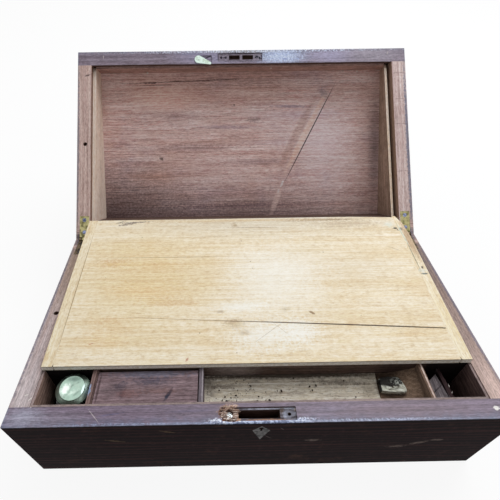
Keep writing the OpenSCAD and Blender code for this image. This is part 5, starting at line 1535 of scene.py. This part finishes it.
def torn_wood(name, tones):
    """Broken wood, rough and strongly mottled."""
    material, tree, point, where, wood, colour = start_wood(
        name, HINGE, SLOPE, tones, 0.0, 57.0, ring_gap=2.0, mottle=0.9)
    return finish_wood(material, tree, colour, wood, 0.8)


print("made", add_splinter.__name__, "and", torn_wood.__name__)

# %% [markdown]
# ## Torn wood round the lock's screw
#
# Pulling the lock out lifted the fibres round its one remaining screw. Chance gives each fibre
# its place, length and slant, from a fixed seed, so that every run gives the same ones. The
# closed lid leaves them room over its own bed only, and elsewhere they stay below the rim.

# %% Torn fibres
SCREW_X, SCREW_BACK = -27.9, 8.5
HOOK_BED = (-31.6, 26.6, 4.6, 14.2)
FIBRES, STANDING, LYING = 130, 0.5, -0.35
chance = random.Random(7)


def in_hook_bed(across, back):
    """Whether the closed lid has its own bed over this place, so that a fibre may stand up into it."""
    left, right, near, far = HOOK_BED
    return left < across < right and near < back < far


torn = bmesh.new()
for _ in range(FIBRES):
    angle = chance.uniform(0, math.tau)
    far = chance.uniform(4.0, 9.4)
    x = SCREW_X + 0.9 + 0.86 * far * math.cos(angle)
    y = SCREW_BACK + 1.2 + 0.8 * far * math.sin(angle)
    length, slant = chance.uniform(1.6, 5.2), chance.gauss(0.1, 0.4)
    height = chance.uniform(-1.3, 0.2)
    heights = (height, height + chance.uniform(0, 0.7))
    places = [(x + side * length, y + side * slant * length) for side in (-0.5, 0.5)]
    limit = STANDING if all(in_hook_bed(*place) for place in places) else LYING
    ends = [on_board(across, FRONT_EDGE + along, min(level, limit), SLOPE)
            for (across, along), level in zip(places, heights)]
    add_splinter(torn, *ends, chance.uniform(0.5, 1.1) * MM, 0.5 * MM)
make_piece("torn_fibres", torn, "base",
           torn_wood("torn wood", ((66, 44, 36), (144, 112, 94), (222, 202, 190))))

# %% [markdown]
# ## Pale splinters
#
# Where the slips broke, a few long splinters of fresh wood are left along their ends. They lie
# on the slips' tops, which fall a little towards the hinges, so each is set down on that slope.

# %% Pale splinters
SLIP_END, SLIP_TOP, SLIP_FALL = -227.7, -9.4, -0.09
pale = bmesh.new()
for across, back, reach, lift in (
        (176.4, -220.9, (1.6, 3.0), 0.8), (177.0, -213.4, (0.4, 4.4), 0.3), (174.6, -224.6, (3.4, 1.0), 0.5),
        (163.0, -226.3, (4.0, 0.7), 0.5)):
    drop = SLIP_TOP + (back - SLIP_END) * SLIP_FALL
    start = on_board(across - reach[0] / 2, back - reach[1] / 2, drop, SLOPE)
    end = on_board(across + reach[0] / 2, back + reach[1] / 2, drop + lift, SLOPE)
    add_splinter(pale, start, end, 0.8 * MM, 0.5 * MM)
make_piece("pale_splinters", pale, "base",
           torn_wood("splintered wood", ((104, 90, 84), (176, 164, 158), (214, 206, 200))))

# %% [markdown]
# ## Crumbs in the tray
#
# Crumbs of dirt and dried ink gather in heaps, more to the left. Particles on the floor would
# spread evenly, so each crumb draws one of a few middles and falls near it. They are small
# stretched balls, shaken by noise, and a high power makes most of them tiny.

# %% Crumbs
CRUMBS = 90
CRUMB_MIDDLES = (-40, -34, -26, -18, -8, 6, 40, 84)
tray_low, tray_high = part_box("tray_floor")
crumbs = bmesh.new()
for _ in range(CRUMBS):
    cluster = chance.choice(CRUMB_MIDDLES)
    x = min(max(chance.gauss(cluster, 12), tray_low.x / MM + 3), tray_high.x / MM - 3)
    y = chance.uniform(tray_low.y / MM + 4, tray_high.y / MM - 3)
    size = 0.3 + 0.75 * chance.random() ** 3
    stretch = Matrix.Diagonal((chance.uniform(0.8, 2.2), chance.uniform(0.7, 1.2), 0.7, 1))
    spin = Matrix.Rotation(chance.uniform(0, math.pi), 4, "Z")
    lie = Matrix.Translation((x * MM, y * MM, tray_high.z + 0.2 * MM))
    bmesh.ops.create_icosphere(crumbs, subdivisions=1, radius=size * MM, matrix=lie @ spin @ stretch)
for corner in crumbs.verts:
    corner.co += noise.noise_vector(corner.co * 900) * 0.25 * MM
make_piece("tray_crumbs", crumbs, "base",
           torn_wood("dark crumbs", ((14, 11, 10), (34, 26, 22), (60, 46, 38))))

# %% [markdown]
# ## Nail heads
#
# The lid's lock strip is held by fine nails. Their heads catch the light as pale dots. A dot of
# colour would do from here, but a small ball let half into the strip also throws a shadow.

# %% Nail heads
STRIP_INSET = 22.6
STRIP_FACE = STRIP_INSET - DEPTH
nail_heads = ((-131.2, 65.2, 1.3), (40.2, 47.5, 0.8), (144.7, 68.6, 0.8), (164.9, 69.6, 1.0))
heads = bmesh.new()
for across, height, radius in nail_heads:
    centre = on_board(across, STRIP_FACE, height, OPENING)
    bmesh.ops.create_icosphere(heads, subdivisions=2, radius=radius * MM, matrix=Matrix.Translation(centre))
make_piece("strip_nails", heads, "lid",
           old_metal("nail heads", (230, 226, 220), (176, 168, 164), 69.0, metallic=0.3, opening=OPENING))

# %% [markdown]
# ## Softened edges
#
# No edge on an old box is sharp. A bevel modifier rounds each edge of the solids by a fraction
# of a millimetre. It leaves the solid's own mesh alone and costs little, and it gives every
# arris the thin line of light that tells the eye it is real.

# %% Bevel the boards
def soften(names, width_mm):
    """Rounds the edges of CAD nodes that are sharper than 40 degrees."""
    for name in names.split():
        bevel = nodes[name].modifiers.new("worn edges", "BEVEL")
        bevel.width = width_mm * MM
        bevel.segments = 2
        bevel.limit_method = "ANGLE"
        bevel.angle_limit = math.radians(40)
        bevel.harden_normals = False
        bevel.use_clamp_overlap = True
    print("rounded by", width_mm, "mm:", names)


soften("base_front base_back base_side_left base_side_right", 0.45)
soften("lid_front lid_back lid_side_left lid_side_right", 0.45)
soften("flap_board flap_cleat_left flap_cleat_right", 0.4)
soften("well_cover well_rail ink_divider pen_divider end_divider well_lining_front", 0.35)
soften("well_lining_left well_lining_right", 0.35)
soften("lid_ledge_left lid_ledge_right lid_ledge_front lid_ledge_back tray_floor tray_scoop", 0.3)

# %% [markdown]
# ## Camera
#
# The camera stands above the lock side and looks down at about 46 degrees, close enough that
# the case narrows strongly towards the hinges. A long lens from far off would flatten that.
# The picture's middle isn't where the lens points, so the camera has a small shift.

# %% Camera
PICTURE = 500
FOCAL_PIXELS = 436.8
LENS_AXIS = (222.5, 222.6)
CAMERA_PLACE = (-0.0335, -0.2553, 0.5032)
PITCH, YAW, ROLL = math.radians(46.31), math.radians(0.57), math.radians(-0.49)

camera = bpy.data.objects.new("camera", bpy.data.cameras.new("camera"))
bpy.context.scene.collection.objects.link(camera)
camera.data.sensor_width = 36
camera.data.lens = FOCAL_PIXELS / PICTURE * camera.data.sensor_width
camera.data.shift_x = (PICTURE / 2 - LENS_AXIS[0]) / PICTURE
camera.data.shift_y = (LENS_AXIS[1] - PICTURE / 2) / PICTURE
camera.data.clip_start = 0.01
forward = Vector((math.sin(YAW) * math.cos(PITCH), math.cos(YAW) * math.cos(PITCH), -math.sin(PITCH)))
level = Vector((math.cos(YAW), -math.sin(YAW), 0))
rise = level.cross(forward)
right = level * math.cos(ROLL) + rise * math.sin(ROLL)
upward = rise * math.cos(ROLL) - level * math.sin(ROLL)
turn = Matrix((right, upward, -forward)).transposed()
camera.matrix_world = Matrix.Translation(CAMERA_PLACE) @ turn.to_4x4()
bpy.context.scene.camera = camera
print("lens", round(camera.data.lens, 2), "mm, camera at", CAMERA_PLACE)

# %% [markdown]
# ## Floor
#
# The box stands on a white ground that shows only a faint shadow. A lit floor alone would turn
# grey away from the lamp. So what the camera and mirrors see of it is mostly plain white,
# with a little of the lit floor left for the shadow, while other light still bounces off it.

# %% Floor
FLOOR_REACH = 6.0
FLOOR_WHITE = 0.91


def white_for_the_eye(tree, lit, share):
    """Mixes lit shading with plain white, as the camera, mirrors and glass see it."""
    rays = add(tree, "ShaderNodeLightPath")
    seen = maths(tree, "MAXIMUM", rays.outputs["Is Camera Ray"], rays.outputs["Is Glossy Ray"])
    seen = maths(tree, "MAXIMUM", seen, rays.outputs["Is Transmission Ray"])
    return add(tree, "ShaderNodeMixShader", i0=times(tree, seen, share), i1=lit.outputs[0])


def make_floor():
    """A wide pale floor, which is part of the stage and not of the box."""
    mesh = bpy.data.meshes.new("floor")
    corners = [(x * FLOOR_REACH, y * FLOOR_REACH, 0) for x, y in ((-1, -1), (1, -1), (1, 1), (-1, 1))]
    mesh.from_pydata(corners, [], [(0, 1, 2, 3)])
    floor = bpy.data.objects.new("floor", mesh)
    bpy.context.scene.collection.objects.link(floor)
    material = bpy.data.materials.new("pale floor")
    material.use_nodes = True
    tree = material.node_tree
    tree.nodes.clear()
    diffuse = add(tree, "ShaderNodeBsdfDiffuse", Color=(0.86, 0.86, 0.86, 1))
    mixed = white_for_the_eye(tree, diffuse, FLOOR_WHITE)
    glow = add(tree, "ShaderNodeEmission", Color=(1, 1, 1, 1), Strength=1.0)
    tree.links.new(glow.outputs[0], mixed.inputs[2])
    add(tree, "ShaderNodeOutputMaterial", Surface=mixed.outputs[0])
    mesh.materials.append(material)


make_floor()
print("floor", 2 * FLOOR_REACH, "m wide")

# %% [markdown]
# ## Surround and lamp
#
# The light is an even white surround, dim enough that the inside of the well stays dark, and
# one wide soft panel behind the lid, which lays a cool sheen on the worn rims. A picture of a
# room would put its own shapes into the brass. The camera sees the surround as plain white.

# %% World and lamp
def make_world(strength):
    """An even surround that lights with this strength and is white to the eye."""
    world = bpy.data.worlds.new("studio")
    bpy.context.scene.world = world
    world.use_nodes = True
    tree = world.node_tree
    tree.nodes.clear()
    light = add(tree, "ShaderNodeBackground", Color=(1.0, 1.0, 1.0, 1), Strength=strength)
    mixed = white_for_the_eye(tree, light, 1.0)
    white = add(tree, "ShaderNodeBackground", Color=(1, 1, 1, 1), Strength=1.0)
    tree.links.new(white.outputs[0], mixed.inputs[2])
    add(tree, "ShaderNodeOutputWorld", Surface=mixed.outputs[0])


def make_panel(name, place, target, width, height, watts, colour):
    """A rectangular lamp at a place, turned to a target."""
    lamp = bpy.data.lights.new(name, "AREA")
    lamp.shape = "RECTANGLE"
    lamp.size, lamp.size_y = width, height
    lamp.energy = watts
    lamp.color = colour
    panel = bpy.data.objects.new(name, lamp)
    bpy.context.scene.collection.objects.link(panel)
    panel.location = place
    panel.rotation_euler = (Vector(target) - Vector(place)).to_track_quat("-Z", "Y").to_euler()


make_world(strength=0.40)
make_panel("window panel", place=(0.55, 0.85, 1.45), target=(0, 0.05, 0.1), width=1.5, height=1.1,
           watts=26.0, colour=(0.96, 0.98, 1.0))
bpy.context.scene.view_settings.view_transform = "Standard"
print("lamps", [lamp.name for lamp in bpy.data.lights])

# %% [markdown]
# ## End of the scene
#

# %% End of the scene
print("scene built")
